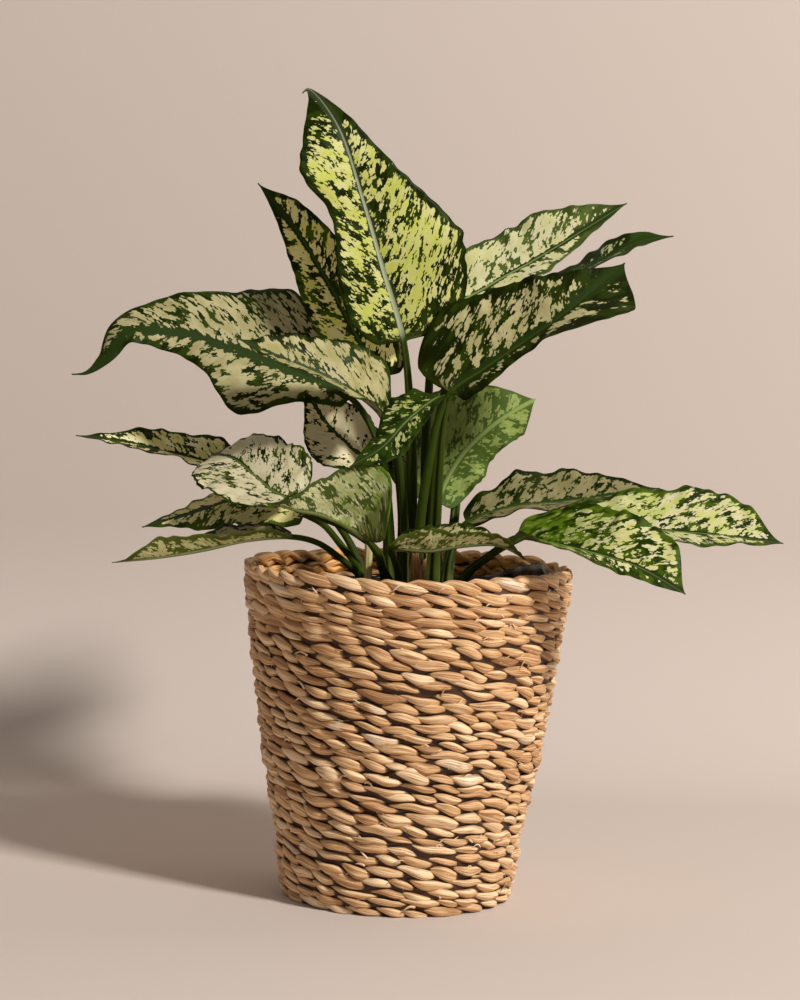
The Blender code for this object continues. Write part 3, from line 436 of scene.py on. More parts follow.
        blade=((10.6, -1.4, 26.1), (14.4, -1.0, 26.1), (18.0, -1.0, 26.0), (21.8, -1.0, 25.8),
               (25.7, -1.0, 25.4)),
        faces=((0, -0.4, 0.9), (0, -0.4, 0.9), (0, -0.4, 0.9)),
        left=Half((2.7, 3.6, 3.9, 4.0, 3.0), (20, 22)),
        right=Half((2.3, 2.8, 2.8, 2.4, 1.4), (14, 12)),
        wave=(0.2, 3.5, 0.35),
    ),
    LeafPlan(
        name="leaf_lower_left",
        slot="leaf_pale",
        look=LeafLook.SHADOWED,
        root=(-2.9, -0.7),
        stalk=((-3.3, -0.8, 22.7), (-4.6, -1.2, 24.3), (-5.9, -1.7, 25.8)),
        blade=((-7.2, -1.2, 26.4), (-9.7, -1.0, 27.3), (-12.4, -1.0, 27.2), (-15.3, -1.0, 26.2),
               (-18.4, -1.0, 25.2)),
        faces=((0, -0.45, 0.9), (0, -0.45, 0.9), (0, -0.45, 0.9)),
        left=Half((2.2, 2.7, 2.4, 1.75, 0.9), (-4, -26)),
        right=Half((2.2, 2.6, 2.4, 1.8, 0.9), (-4, -20)),
    ),
    LeafPlan(
        name="leaf_lowest_left",
        slot="leaf_pale",
        look=LeafLook.GREY_UNDER,
        root=(-2.9, -1.8),
        stalk=((-3.4, -2.4, 22.6), (-4.7, -3.4, 23.8), (-6.2, -4.6, 24.9)),
        blade=((-7.9, -5.2, 25.3), (-10.9, -5.4, 25.0), (-13.9, -5.4, 24.2), (-16.9, -5.4, 23.6),
               (-20.0, -5.4, 23.2)),
        faces=((0, -0.1, 1), (0, -0.1, 1), (0, -0.1, 1)),
        left=Half((1.0, 1.1, 1.4, 1.75, 1.2), (68, 80)),
        right=Half((2.1, 2.5, 2.4, 1.9, 1.1), (14, 24)),
    ),
    LeafPlan(
        name="leaf_behind_centre",
        slot="leaf_pale",
        look=LeafLook.CREAM,
        root=(0.2, 3.0),
        stalk=((0.1, 3.7, 24.0), (0.0, 5.0, 26.2)),
        blade=((0.1, 6.4, 27.9), (0.4, 8.5, 30.4), (0.9, 10.8, 32.3), (1.4, 13.2, 33.5),
               (1.8, 15.8, 33.4)),
        faces=((0, -0.7, 0.7), (0, -0.5, 0.85), (0, 0, 1)),
        left=Half((2.1, 2.6, 2.4, 1.8, 1.0)),
        right=Half((2.1, 2.6, 2.4, 1.8, 1.0)),
        girth=1.5,
    ),
    LeafPlan(
        name="leaf_back_left",
        slot="leaf_mid",
        look=LeafLook.CREAM,
        root=(-0.5, 2.7),
        stalk=((-0.6, 3.1, 26.5), (-1.3, 4.6, 32.0)),
        blade=((-2.4, 7.0, 35.6), (-3.5, 9.8, 37.4), (-4.6, 12.6, 38.0), (-5.6, 15.3, 37.4),
               (-6.3, 18.0, 35.9)),
        faces=((-0.1, -0.4, 0.9), (-0.1, -0.1, 1), (-0.1, 0.3, 1)),
        left=Half((2.6, 3.1, 2.8, 2.0, 1.1)),
        right=Half((2.6, 3.1, 2.8, 2.0, 1.1)),
        wave=(0.2, 3.0, 0.3),
    ),
    LeafPlan(
        name="leaf_back_right",
        slot="leaf_mid",
        look=LeafLook.BANDED,
        root=(2.7, 3.4),
        stalk=((3.2, 6.2, 26.5), (3.3, 8.0, 31.5)),
        blade=((4.0, 10.2, 36.2), (4.6, 12.2, 38.0), (5.2, 14.2, 38.8), (5.6, 16.2, 38.9),
               (5.8, 18.2, 38.2)),
        faces=((0.1, -0.4, 0.9), (0.1, -0.1, 1), (0.1, 0.3, 1)),
        left=Half((2.7, 3.2, 2.9, 2.1, 1.1)),
        right=Half((2.7, 3.2, 2.9, 2.1, 1.1)),
        wave=(0.2, 3.0, 0.5),
        girth=1.3,
    ),
)


def unit(vectors: np.ndarray) -> np.ndarray:
    """Each vector, at length one."""
    return vectors / np.maximum(np.linalg.norm(vectors, axis=-1, keepdims=True), 1e-12)


def ease(value: np.ndarray, low: float, high: float) -> np.ndarray:
    """A smooth step from 0 at low to 1 at high."""
    share = np.clip((value - low) / (high - low), 0.0, 1.0)
    return share * share * (3 - 2 * share)


def blend_three(values: np.ndarray, share: np.ndarray, softness: float = 0.06) -> np.ndarray:
    """Runs from the first value through the second, at a share of one half, to the third.

    Args:
        values: three numbers or three vectors.
        share: where to read, from 0 to 1.
        softness: how far the bend at the middle is rounded.

    Returns:
        One value for each share.
    """
    offset = share - 0.5
    rounded = np.sqrt(offset ** 2 + softness ** 2)
    before, after = (rounded - offset), (rounded + offset)
    first, second, third = (np.asarray(value, float) for value in values)
    if first.ndim:
        before, after = before[..., None], after[..., None]
    return second + (first - second) * before + (third - second) * after


def ripple(turn: np.ndarray, waves: tuple[int, ...], rng: np.random.Generator) -> np.ndarray:
    """A smooth random line that meets itself after a full turn.

    Args:
        turn: angles, or anything that runs over 2 pi.
        waves: how many waves a turn each part of the line has.
        rng: the seeded source of the parts' sizes and phases.

    Returns:
        Values round 0, mostly between -1 and 1.
    """
    total = np.zeros_like(turn)
    for count in waves:
        total += rng.uniform(0.5, 1.0) * np.sin(count * turn + rng.uniform(0, 2 * math.pi))
    return total / math.sqrt(len(waves))


def noise_at(points: np.ndarray, scale: float, shift: float = 0.0) -> np.ndarray:
    """Smooth noise from -1 to 1 at each point.

    Args:
        points: places in metres, three numbers each.
        scale: bumps a metre.
        shift: picks another part of the noise.

    Returns:
        One value for each point, in the points' own layout.
    """
    flat = points.reshape(-1, 3) * scale + shift
    values = [noise.noise(place) for place in flat.tolist()]
    return np.array(values).reshape(points.shape[:-1])


@dataclass
class Path:
    """A smooth line through a few points, read by the share of its length."""

    points: np.ndarray
    steps: int = 24

    def line(self) -> np.ndarray:
        """The line as many short straight pieces."""
        ends = np.asarray(self.points, float)
        padded = np.vstack([2 * ends[0] - ends[1], ends, 2 * ends[-1] - ends[-2]])
        knots = np.concatenate([[0.0], np.cumsum(np.sqrt(np.linalg.norm(np.diff(padded, axis=0), axis=1)))])
        pieces = [ends[:1]]
        for span in range(1, len(padded) - 2):
            t0, t1, t2, t3 = knots[span - 1:span + 3]
            p0, p1, p2, p3 = padded[span - 1:span + 3]
            t = (t1 + (t2 - t1) * np.arange(1, self.steps + 1) / self.steps)[:, None]
            a1 = p0 + (p1 - p0) * (t - t0) / (t1 - t0)
            a2 = p1 + (p2 - p1) * (t - t1) / (t2 - t1)
            a3 = p2 + (p3 - p2) * (t - t2) / (t3 - t2)
            b1 = a1 + (a2 - a1) * (t - t0) / (t2 - t0)
            b2 = a2 + (a3 - a2) * (t - t1) / (t3 - t1)
            pieces.append(b1 + (b2 - b1) * (t - t1) / (t2 - t1))
        return np.vstack(pieces)


def read_line(line: np.ndarray, share: np.ndarray) -> tuple[np.ndarray, np.ndarray]:
    """Places and directions at shares of a line's length.

    Args:
        line: the line's points.
        share: where to read, from 0 to 1.

    Returns:
        The places, and the directions there.
    """
    reached = np.concatenate([[0.0], np.cumsum(np.linalg.norm(np.diff(line, axis=0), axis=1))])
    heading = unit(np.gradient(line, axis=0))
    wanted = share * reached[-1]
    places = np.stack([np.interp(wanted, reached, line[:, axis]) for axis in range(3)], 1)
    headings = np.stack([np.interp(wanted, reached, heading[:, axis]) for axis in range(3)], 1)
    return places, unit(headings)


@dataclass
class MeshParts:
    """Collects points, faces and the values that a material reads, and makes one object of them."""

    points: list[np.ndarray] = field(default_factory=list)
    faces: list[tuple[int, ...]] = field(default_factory=list)
    values: dict[str, list[np.ndarray]] = field(default_factory=dict)
    count: int = 0

    def add(self, points: np.ndarray, faces: list | np.ndarray, values: dict[str, np.ndarray]) -> None:
        """Adds points with their values, and the faces between them.

        Args:
            points: places, three numbers each.
            faces: corner numbers of each face, counted from this call's first point.
            values: three numbers for each point, by the name that the material reads.
        """
        start = self.count
        flat = points.reshape(-1, 3)
        self.points.append(flat)
        rows = faces.tolist() if isinstance(faces, np.ndarray) else faces
        self.faces += [tuple(corner + start for corner in face) for face in rows]
        for name, value in values.items():
            self.values.setdefault(name, []).append(np.broadcast_to(value, points.shape).reshape(-1, 3))
        self.count += len(flat)

    def build(self, name: str, material: bpy.types.Material) -> bpy.types.Object:
        """Makes the object, smooth and dressed in the material."""
        mesh = bpy.data.meshes.new(name)
        mesh.from_pydata(np.vstack(self.points).tolist(), [], self.faces)
        for label, parts in self.values.items():
            layer = mesh.attributes.new(label, "FLOAT_VECTOR", "POINT")
            layer.data.foreach_set("vector", np.vstack(parts).astype(np.float32).ravel())
        mesh.shade_smooth()
        mesh.materials.append(material)
        obj = bpy.data.objects.new(name, mesh)
        bpy.context.scene.collection.objects.link(obj)
        return obj


def grid_faces(rows: int, columns: int, round_rows: bool = False, round_columns: bool = False) -> np.ndarray:
    """Four-cornered faces between the points of a grid, listed row by row.

    Args:
        rows: how many rows of points.
        columns: how many points in a row.
        round_rows: whether the last row meets the first.
        round_columns: whether a row's last point meets its first.

    Returns:
        Corner numbers, four to a face.
    """
    row = np.arange(rows if round_rows else rows - 1)
    column = np.arange(columns if round_columns else columns - 1)
    row, column = (part.ravel() for part in np.meshgrid(row, column, indexing="ij"))
    next_row, next_column = (row + 1) % rows, (column + 1) % columns
    corners = (row * columns + column, row * columns + next_column,
               next_row * columns + next_column, next_row * columns + column)
    return np.stack(corners, 1)


def join_piece(obj: bpy.types.Object, slot: str, *nodes: str) -> bpy.types.Object:
    """Lets a finished piece ride on the body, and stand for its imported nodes."""
    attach(obj, BODY)
    if nodes:
        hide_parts(*nodes)
    obj.data.calc_loop_triangles()
    LOG.info("%s: %d triangles, for %s", obj.name, len(obj.data.loop_triangles), ", ".join(nodes) or "detail")
    return obj


class NodeBench:
    """Adds shader nodes to one tree, each in one short call."""

    def __init__(self, tree: bpy.types.NodeTree) -> None:
        """Starts on a tree."""
        self.tree = tree

    def feed(self, socket: bpy.types.NodeSocket, value: object) -> None:
        """Links a socket to another, or sets it to a number, a vector or a colour."""
        if isinstance(value, bpy.types.NodeSocket):
            self.tree.links.new(value, socket)
        elif socket.type == "RGBA":
            socket.default_value = (*value, 1.0)
        else:
            socket.default_value = value

    def add(self, kind: str, inputs: dict, **settings: object) -> bpy.types.Node:
        """Adds a node of a kind, with its settings and inputs."""
        node = self.tree.nodes.new(kind)
        for name, value in settings.items():
            setattr(node, name, value)
        for key, value in inputs.items():
            self.feed(node.inputs[key], value)
        return node

    def math(self, operation: str, first: object, second: object = 0.0, third: object = 0.0) -> bpy.types.NodeSocket:
        """One step of arithmetic."""
        return self.add("ShaderNodeMath", {0: first, 1: second, 2: third}, operation=operation).outputs[0]

    def split(self, vector: object) -> tuple[bpy.types.NodeSocket, ...]:
        """The three numbers of a vector."""
        return tuple(self.add("ShaderNodeSeparateXYZ", {0: vector}).outputs)

    def join(self, x: object, y: object, z: object) -> bpy.types.NodeSocket:
        """A vector of three numbers."""
        return self.add("ShaderNodeCombineXYZ", {0: x, 1: y, 2: z}).outputs[0]

    def noise(self, vector: object, detail: float = 2.0, scale: float = 1.0,
              roughness: float = 0.5) -> bpy.types.NodeSocket:
        """Smooth noise from 0 to 1."""
        inputs = {"Vector": vector, "Scale": scale, "Detail": detail, "Roughness": roughness}
        return self.add("ShaderNodeTexNoise", inputs).outputs[0]

    def cells(self, vector: object) -> bpy.types.NodeSocket:
        """Distance to the nearest of scattered points, one to each unit square: 0 at a point."""
        return self.add("ShaderNodeTexVoronoi", {"Vector": vector, "Scale": 1.0}, voronoi_dimensions="2D").outputs["Distance"]

    def step(self, value: object, low: object, high: object, start: float = 0.0,
             end: float = 1.0) -> bpy.types.NodeSocket:
        """A smooth step from start, where the value is low, to end, where it is high."""
        inputs = {"Value": value, "From Min": low, "From Max": high, "To Min": start, "To Max": end}
        return self.add("ShaderNodeMapRange", inputs, interpolation_type="SMOOTHSTEP").outputs[0]

    def blend(self, share: object, first: object, second: object, mode: str = "MIX") -> bpy.types.NodeSocket:
        """A colour between two others."""
        inputs = {0: share, 6: first, 7: second}
        return self.add("ShaderNodeMix", inputs, data_type="RGBA", blend_type=mode).outputs[2]

    def read(self, name: str) -> bpy.types.NodeSocket:
        """The three numbers that the mesh keeps under a name."""
        node = self.add("ShaderNodeAttribute", {}, attribute_type="GEOMETRY", attribute_name=name)
        return node.outputs["Vector"]


def new_group(name: str, inputs: dict[str, str], outputs: dict[str, str]) -> tuple[NodeBench, dict, bpy.types.Node]:
    """Starts a shader node group with named sockets.

    Args:
        name: the group's name.
        inputs: kind of socket by its name, as Float, Vector or Color.
        outputs: the same for what the group puts out.

    Returns:
        A bench on the group, its input sockets by name, and its output node.
    """
    tree = bpy.data.node_groups.new(name, "ShaderNodeTree")
    for label, kind in inputs.items():
        tree.interface.new_socket(name=label, in_out="INPUT", socket_type="NodeSocket" + kind)
    for label, kind in outputs.items():
        tree.interface.new_socket(name=label, in_out="OUTPUT", socket_type="NodeSocket" + kind)
    bench = NodeBench(tree)
    start = bench.add("NodeGroupInput", {})
    return bench, {label: start.outputs[label] for label in inputs}, bench.add("NodeGroupOutput", {})


def new_material(name: str, **constants: object) -> tuple[bpy.types.Material, NodeBench, bpy.types.Node]:
    """Starts a material with one Principled shader.

    Args:
        name: the material's name.
        constants: values of the shader's own sockets, by name with _ for a space.

    Returns:
        The material, a bench on its tree, and the shader.
    """
    material = bpy.data.materials.new(name)
    material.use_nodes = True
    bench = NodeBench(material.node_tree)
    shader = material.node_tree.nodes["Principled BSDF"]
    for label, value in constants.items():
        bench.feed(shader.inputs[label.replace("_", " ")], value)
    return material, bench, shader


def title(name: str) -> str:
    """The socket name of a finish's field."""
    return name.replace("_", " ").title()


class LeafPaint:
    """The variegated colouring of the leaves: one node group, and a material for each leaf."""

    VEIN_SPACING = 0.0085

    def __init__(self) -> None:
        """Builds the group that every leaf's material uses."""
        kinds = {title(item.name): "Float" if item.type is float else "Color" for item in fields(LeafFinish)}
        inputs = {"Plan": "Vector", "Place": "Vector", "Part": "Vector", "Seed": "Float", **kinds}
        outputs = {"Color": "Color", "Roughness": "Float", "Height": "Float"}
        bench, given, end = new_group("variegated_leaf", inputs, outputs)
        across, along, _ = bench.split(given["Plan"])
        edge, share, _ = bench.split(given["Place"])
        blade, upper, foot = bench.split(given["Part"])
        distance = bench.math("ABSOLUTE", across)
        side = bench.math("MULTIPLY_ADD", bench.math("SIGN", across), 3.0, given["Seed"])
        vein = self.vein_place(bench, distance, along)
        warp = bench.math("SUBTRACT", bench.noise(bench.join(
            bench.math("MULTIPLY", across, 75.0), bench.math("MULTIPLY", along, 75.0), given["Seed"])), 0.5)
        square = math.sqrt(1 + Leaf.VEIN_SLANT ** 2)
        crosswise = bench.math("MULTIPLY", vein, 1 / square)
        lengthwise = bench.math("MULTIPLY_ADD", distance, square, bench.math("MULTIPLY", vein, Leaf.VEIN_SLANT / square))
        crosswise = bench.math("MULTIPLY", bench.math("MULTIPLY_ADD", warp, 0.0030, crosswise), given["Fleck"])
        lengthwise = bench.math("MULTIPLY", lengthwise, given["Fleck"])
        far = bench.math("MULTIPLY", side, 0.61)

        def place(cross: float, length: float, shift: float) -> bpy.types.NodeSocket:
            """Coordinates across the side veins and along them, so many cells a metre."""
            return bench.join(bench.math("MULTIPLY_ADD", crosswise, cross, far),
                              bench.math("MULTIPLY_ADD", lengthwise, length, shift), bench.math("ADD", side, shift))

        crumbs = bench.cells(place(390.0, 190.0, 3.0))
        dots = bench.cells(place(780.0, 400.0, 17.0))
        fine = bench.noise(place(540.0, 280.0, 0.0), 1.0)
        middle = bench.noise(place(208.0, 108.0, 11.0), 1.0)
        broad = bench.noise(place(60.0, 46.0, 23.0), 1.0)
        tint = bench.noise(place(120.0, 70.0, 37.0), 2.0)
        value = bench.math("MULTIPLY_ADD", bench.math("SUBTRACT", 0.47, crumbs), 0.20, 0.0)
        value = bench.math("MULTIPLY_ADD", bench.math("SUBTRACT", 0.47, dots), 0.17, value)
        value = bench.math("MULTIPLY_ADD", middle, 0.62, value)
        value = bench.math("MULTIPLY_ADD", broad, 0.38, value)

        border = bench.math("MULTIPLY", given["Border"], bench.math("MULTIPLY_ADD", broad, 2.6, -0.3))
        band = bench.math("MULTIPLY", given["Rib Band"], bench.math("MULTIPLY_ADD", middle, 1.6, 0.2))
        limit = bench.math("SUBTRACT", 0.5, given["Cover"])
        limit = bench.math("ADD", limit, bench.step(edge, 0.0004, bench.math("ADD", border, 0.0008), 0.26, 0.0))
        limit = bench.math("ADD", limit, bench.step(distance, 0.0006, bench.math("ADD", band, 0.0010), 0.22, 0.0))
        limit = bench.math("ADD", limit, bench.step(share, bench.math("SUBTRACT", 1.0, given["Tip Green"]), 1.0, 0.0, 0.20))
        limit = bench.math("ADD", limit, bench.step(share, 0.0, given["Base Green"], 0.10, 0.0))
        over = bench.math("SUBTRACT", value, limit)

        green = bench.blend(bench.step(tint, 0.42, 0.60), given["Deep Green"], given["Green"])
        green = bench.blend(bench.step(over, -0.07, -0.015, 0.0, 0.55), green, given["Green"])
        halftone = bench.blend(0.45, given["Green"], given["Cream"])
        halftone_share = bench.math("MULTIPLY", bench.step(over, -0.040, -0.022), bench.step(middle, 0.50, 0.56, 0.0, 0.8))
        cream = bench.blend(bench.step(tint, 0.40, 0.62), given["Cream"], given["Warm Cream"])
        blush = bench.math("MULTIPLY", given["Blush"], bench.step(broad, 0.47, 0.60))
        cream = bench.blend(blush, cream, (0.42, 0.50, 0.045))
        top = bench.blend(halftone_share, green, halftone)
        top = bench.blend(bench.step(over, -0.008, 0.010), top, cream)
        line = self.vein_line(bench, vein, warp)
        top = bench.blend(bench.math("MULTIPLY", line, 0.05), top, given["Green"])
        # Beside the midrib the rib_side colour is laid on; where it is grey it is a painted sheen.
        beside = bench.math("MULTIPLY", bench.step(over, -0.03, 0.0, 1.0, 0.0), bench.step(
            distance, 0.0015, bench.math("MULTIPLY_ADD", band, 1.4, 0.0025), 1.0, 0.0))
        top = bench.blend(beside, top, given["Rib Side"])
        rib_edge = bench.math("MULTIPLY_ADD", bench.math("SUBTRACT", 1.08, share), given["Rib Width"], 0.0001)
        rib = bench.step(distance, bench.math("MULTIPLY", rib_edge, 0.7), bench.math("MULTIPLY", rib_edge, 1.25), 1.0, 0.0)
        rib = bench.math("MULTIPLY", rib, bench.step(share, 0.35, 0.90, 1.0, 0.45))
        top = bench.blend(rib, top, given["Rib"])

        under = bench.blend(bench.step(over, -0.030, 0.022), given["Under Green"], given["Under Cream"])
        under = bench.blend(bench.step(fine, 0.35, 0.65, 0.0, 0.25), under, given["Under Green"])
        under = bench.blend(bench.math("MULTIPLY", line, 0.18), under, given["Under Green"])
        under = bench.blend(bench.step(distance, 0.0006, 0.0022, 0.8, 0.0), under, given["Rib"])
        leaf = bench.blend(upper, under, top)
        # Painted light shining through the leaf near its base: a bright green blended in by base_glow.
        glow = bench.math("MULTIPLY", given["Base Glow"], bench.step(share, 0.15, 0.62, 1.0, 0.0))
        glow = bench.math("MULTIPLY", glow, bench.step(bench.math("MULTIPLY_ADD", tint, 0.6, middle), 0.72, 0.88))
        leaf = bench.blend(glow, leaf, (0.13, 0.215, 0.008))
        # Painted light: the colour is brightened towards the base by base_light, over shade that falls there.
        lift = bench.math("MULTIPLY_ADD", bench.step(share, 0.10, 0.48, 1.0, 0.0), given["Base Light"], 1.0)
        leaf = bench.add("ShaderNodeVectorMath", {"Vector": leaf, "Scale": lift}, operation="SCALE").outputs["Vector"]

        grain = bench.noise(bench.join(bench.math("MULTIPLY", across, 1300.0),
                                       bench.math("MULTIPLY", along, 45.0), given["Seed"]))
        stalk = bench.blend(bench.step(grain, 0.40, 0.70, 0.0, 0.6), given["Stalk"], given["Green"])
        stalk = bench.blend(bench.step(foot, 0.0, 0.22, 0.30, 0.0), stalk, (0.16, 0.19, 0.05))
        colour = bench.blend(blade, stalk, leaf)
        gloss = bench.math("MULTIPLY_ADD", bench.math("SUBTRACT", 1.0, upper), 0.12, 0.42)
        gloss = bench.math("MULTIPLY_ADD", bench.math("SUBTRACT", tint, 0.5), 0.20, gloss)
        height = bench.math("MULTIPLY_ADD", line, -0.15, bench.math("MULTIPLY", middle, 0.30))
        height = bench.math("MULTIPLY_ADD", fine, 0.12, height)
        for label, socket in (("Color", colour), ("Roughness", gloss), ("Height", height)):
            bench.feed(end.inputs[label], socket)
        self.group = bench.tree

    def vein_place(self, bench: NodeBench, distance: object, along: object) -> bpy.types.NodeSocket:
        """Where the side vein through a point leaves the midrib: veins slant and bend to the tip."""
        straight = bench.math("MULTIPLY_ADD", distance, -Leaf.VEIN_SLANT, along)
        return bench.math("MULTIPLY_ADD", bench.math("MULTIPLY", distance, distance), -Leaf.VEIN_BEND, straight)

    def vein_line(self, bench: NodeBench, vein: object, warp: object) -> bpy.types.NodeSocket:
        """1 on the side veins and 0 between them."""
        count = bench.math("MULTIPLY_ADD", vein, 1 / self.VEIN_SPACING, bench.math("MULTIPLY", warp, 0.8))
        off = bench.math("ABSOLUTE", bench.math("SUBTRACT", bench.math("FRACT", count), 0.5))
        return bench.step(off, 0.0, 0.09, 1.0, 0.0)

    def material(self, plan: LeafPlan, seed: float) -> bpy.types.Material:
        """The material of one leaf."""
        material, bench, shader = new_material(plan.name + "_skin", Specular_IOR_Level=0.07)
        values = {title(item.name): getattr(plan.look.value, item.name) for item in fields(LeafFinish)}
        values |= {"Plan": bench.read("plan"), "Place": bench.read("place"), "Part": bench.read("part"), "Seed": seed}
        node = material.node_tree.nodes.new("ShaderNodeGroup")
        node.node_tree = self.group
        for label, value in values.items():
            bench.feed(node.inputs[label], value)
        bump = bench.add("ShaderNodeBump", {"Strength": 0.5, "Distance": 0.0005, "Height": node.outputs["Height"]})
        bench.feed(shader.inputs["Base Color"], node.outputs["Color"])
        bench.feed(shader.inputs["Roughness"], node.outputs["Roughness"])
        bench.feed(shader.inputs["Normal"], bump.outputs[0])
        return material


@dataclass
class Leaf:
    """One leaf: a round stalk that opens into a thin, folded, veined and waved blade."""

    VEIN_SLANT = 1.20
    VEIN_BEND = 7.0

    plan: LeafPlan
    seed: int
    stations: int = 100
    columns: int = 12
    stalk_stations: int = 24
    half_sheet: float = 0.00026
    half_margin: float = 0.00012
    rib_radius: float = 0.0017
    rib_steps: tuple[float, float] = (0.0008, 0.0020)
    base_rounding: float = 0.20
    lift_start: float = 0.10
    full_lift_width: float = 0.016
    tip_half_width: float = 0.0005
    stalk_radii: tuple[float, float, float] = (0.0034, 0.0026, 0.0021)
    joint_share: float = 0.035

    def half_width(self, half: Half, share: np.ndarray) -> np.ndarray:
        """Half width of the blade, in metres, at shares of its length."""
        marks = np.array([half.widths[0], *half.widths, 0.0])
        last = len(marks) - 1
        position = np.minimum(share * last, last - 0.001)
        index = position.astype(int)
        step = position - index
        before, start, end = marks[np.maximum(0, index - 1)], marks[index], marks[index + 1]
        after = np.where(index < last - 1, marks[np.minimum(last, index + 2)], -end)
        rise, fall = (end - before) / 2, (after - start) / 2
        width = (start * (2 * step ** 3 - 3 * step ** 2 + 1) + end * (3 * step ** 2 - 2 * step ** 3)
                 + rise * (step ** 3 - 2 * step ** 2 + step) + fall * (step ** 3 - step ** 2))
        opening = np.minimum(1.0, share / self.base_rounding)
        return np.maximum(np.maximum(0.0, width) * CM * np.sqrt(1 - (1 - opening) ** 2), self.tip_half_width)

    def half_lift(self, half: Half, share: np.ndarray, width: np.ndarray) -> tuple[np.ndarray, np.ndarray]:
        """Lift of a half at the midrib and at the margin, in radians; a narrow part lies flatter."""
        full = width / self.full_lift_width
        full = full / (1 + full ** 4) ** 0.25 * ease(share, -0.02, self.lift_start * 1.3)
        tip = half.tip_lift or half.lift
        middle = half.middle_lift or tuple((a + b) / 2 for a, b in zip(half.lift, tip))
        inner, outer = (np.radians(blend_three(angles, share)) * full for angles in zip(half.lift, middle, tip))
        return inner, outer

    def spread(self, width: np.ndarray) -> np.ndarray:
        """Distances of the columns from the midrib: two close to it, the rest out to the margin."""
        near = np.minimum(np.array(self.rib_steps), width[:, None] * np.array([0.15, 0.32]))
        even = np.arange(1, self.columns - 1) / (self.columns - 2)
        eased = 0.55 * even + 0.45 * np.sin(even * math.pi / 2)
        outer = near[:, 1:] + (width[:, None] - near[:, 1:]) * eased
        return np.hstack([np.zeros((len(width), 1)), near, outer])

    def half_blade(self, side: int, share: np.ndarray, frame_at: tuple) -> tuple[np.ndarray, ...]:
        """The middle surface of one half.

        Args:
            side: -1 for the left half and 1 for the right.
            share: shares of the blade's length.
            frame_at: centres, and the directions across, up and along, at those shares.

        Returns:
            Points, distance from the midrib and reach from 0 to 1, a row for each share.
        """
        half = self.plan.left if side < 0 else self.plan.right
        rng = np.random.default_rng(self.seed * 10 + side + 5)
        uneven = ripple(share * 2 * math.pi, (6, 9, 13, 17), rng) * ease(share, 0.04, 0.2) * ease(1 - share, 0.0, 0.15)
        width = self.half_width(half, share) * (1 + 0.022 * uneven)
        distance = self.spread(width)
        reach = distance / width[:, None]
        inner, outer = self.half_lift(half, share, width)
        middle = inner[:, None] + (outer - inner)[:, None] * reach / 2
        out, rise = distance * np.cos(middle), distance * np.sin(middle)
        height, cycles, phase = self.plan.wave
        swell = np.where(share < 0.86, np.sin(math.pi * np.minimum(1.0, share * 1.15)), 0.0)
        wave = np.sin(2 * math.pi * (cycles * share + phase + 0.2 * side))
        rise += (height * CM * swell * wave)[:, None] * reach ** 2
        rng = np.random.default_rng(self.seed * 10 + side)
        fringe = ripple(share * 2 * math.pi, (3, 5, 7, 10), rng) * ease(share, 0.02, 0.15) * ease(1 - share, 0.0, 0.2)
        rise += 0.0013 * fringe[:, None] * ease(reach, 0.45, 1.0)
        lobe = self.plan.lobe if half.lobe is None else half.lobe
        forward = -lobe * CM * reach * np.maximum(0.0, 1 - share / 0.35)[:, None] ** 2
        centre, across, up, along = (part[:, None, :] for part in frame_at)
        points = centre + across * (side * out)[..., None] + up * rise[..., None] + along * forward[..., None]
        return points, distance, reach

    def blade_frames(self) -> tuple:
        """Shares, lengths and frames along the blade, and the stalk's line and joint frame."""
        plan = self.plan
        blade = np.array(plan.blade) * CM + PLANT_SHIFT
        collar = np.array([plan.root[0] * CM + PLANT_SHIFT[0], plan.root[1] * CM, COLLAR_HEIGHT])
        stalk = np.vstack([collar, np.array(plan.stalk) * CM + PLANT_SHIFT, blade[:1]])
        path = Path(np.vstack([stalk, blade[1:]]))
        line = path.line()
        joint = (len(stalk) - 1) * path.steps
        even = np.linspace(0, 1, self.stations)
        share = even + ((1 - np.cos(math.pi * even)) / 2 - even) * 0.55
        centre, along = read_line(line[joint:], share)
        face = blend_three([unit(np.array(value, float)) for value in plan.faces], share)
        up = unit(face - along * (face * along).sum(1, keepdims=True))
        across = np.cross(along, up)
        length = np.linalg.norm(np.diff(line[joint:], axis=0), axis=1).sum()
        return share, length, (centre, across, up, along), line[:joint + 1], collar

    def blade_faces(self) -> tuple[np.ndarray, ...]:
        """Upper and lower points of the blade, and where each lies, for the material."""
        share, length, frames, stalk_line, collar = self.blade_frames()
        left, right = (self.half_blade(side, share, frames) for side in (-1, 1))
        middle, distance, reach = (np.concatenate([first[:, :0:-1], second], 1) for first, second in zip(left, right))
        sign = np.concatenate([-np.ones(self.columns), np.ones(self.columns + 1)])
        along = np.broadcast_to((share * length)[:, None], distance.shape)
        shares = np.broadcast_to(share[:, None], distance.shape)
        normal = unit(np.cross(np.gradient(middle, axis=1), np.gradient(middle, axis=0)))
        vein = along - self.VEIN_SLANT * distance - self.VEIN_BEND * distance ** 2
        furrow = np.cos(2 * math.pi * vein / LeafPaint.VEIN_SPACING)
        body = ease(distance, 0.001, 0.008) * ease(1 - reach, 0.0, 0.35) * ease(1 - shares, 0.0, 0.12)
        crease = np.minimum(1.0, distance.max(1, keepdims=True) / 0.02)
        flat = np.stack([sign * distance, along, np.full_like(along, self.seed * 0.37)], -1)
        pucker = noise_at(flat, 55.0) * 0.0007 + noise_at(flat, 120.0, 9.0) * 0.0003
        middle = middle + normal * ((0.00010 * furrow + pucker) * body * crease)[..., None]
        rib = self.rib_radius * (1 - shares) ** 1.2 + 0.0001
        sheet = self.half_margin + (self.half_sheet - self.half_margin) * ease(1 - reach, 0.0, 0.08)
        groove = 0.00022 * np.exp(-(distance / 0.0009) ** 2) * ease(1 - shares, 0.0, 0.2)
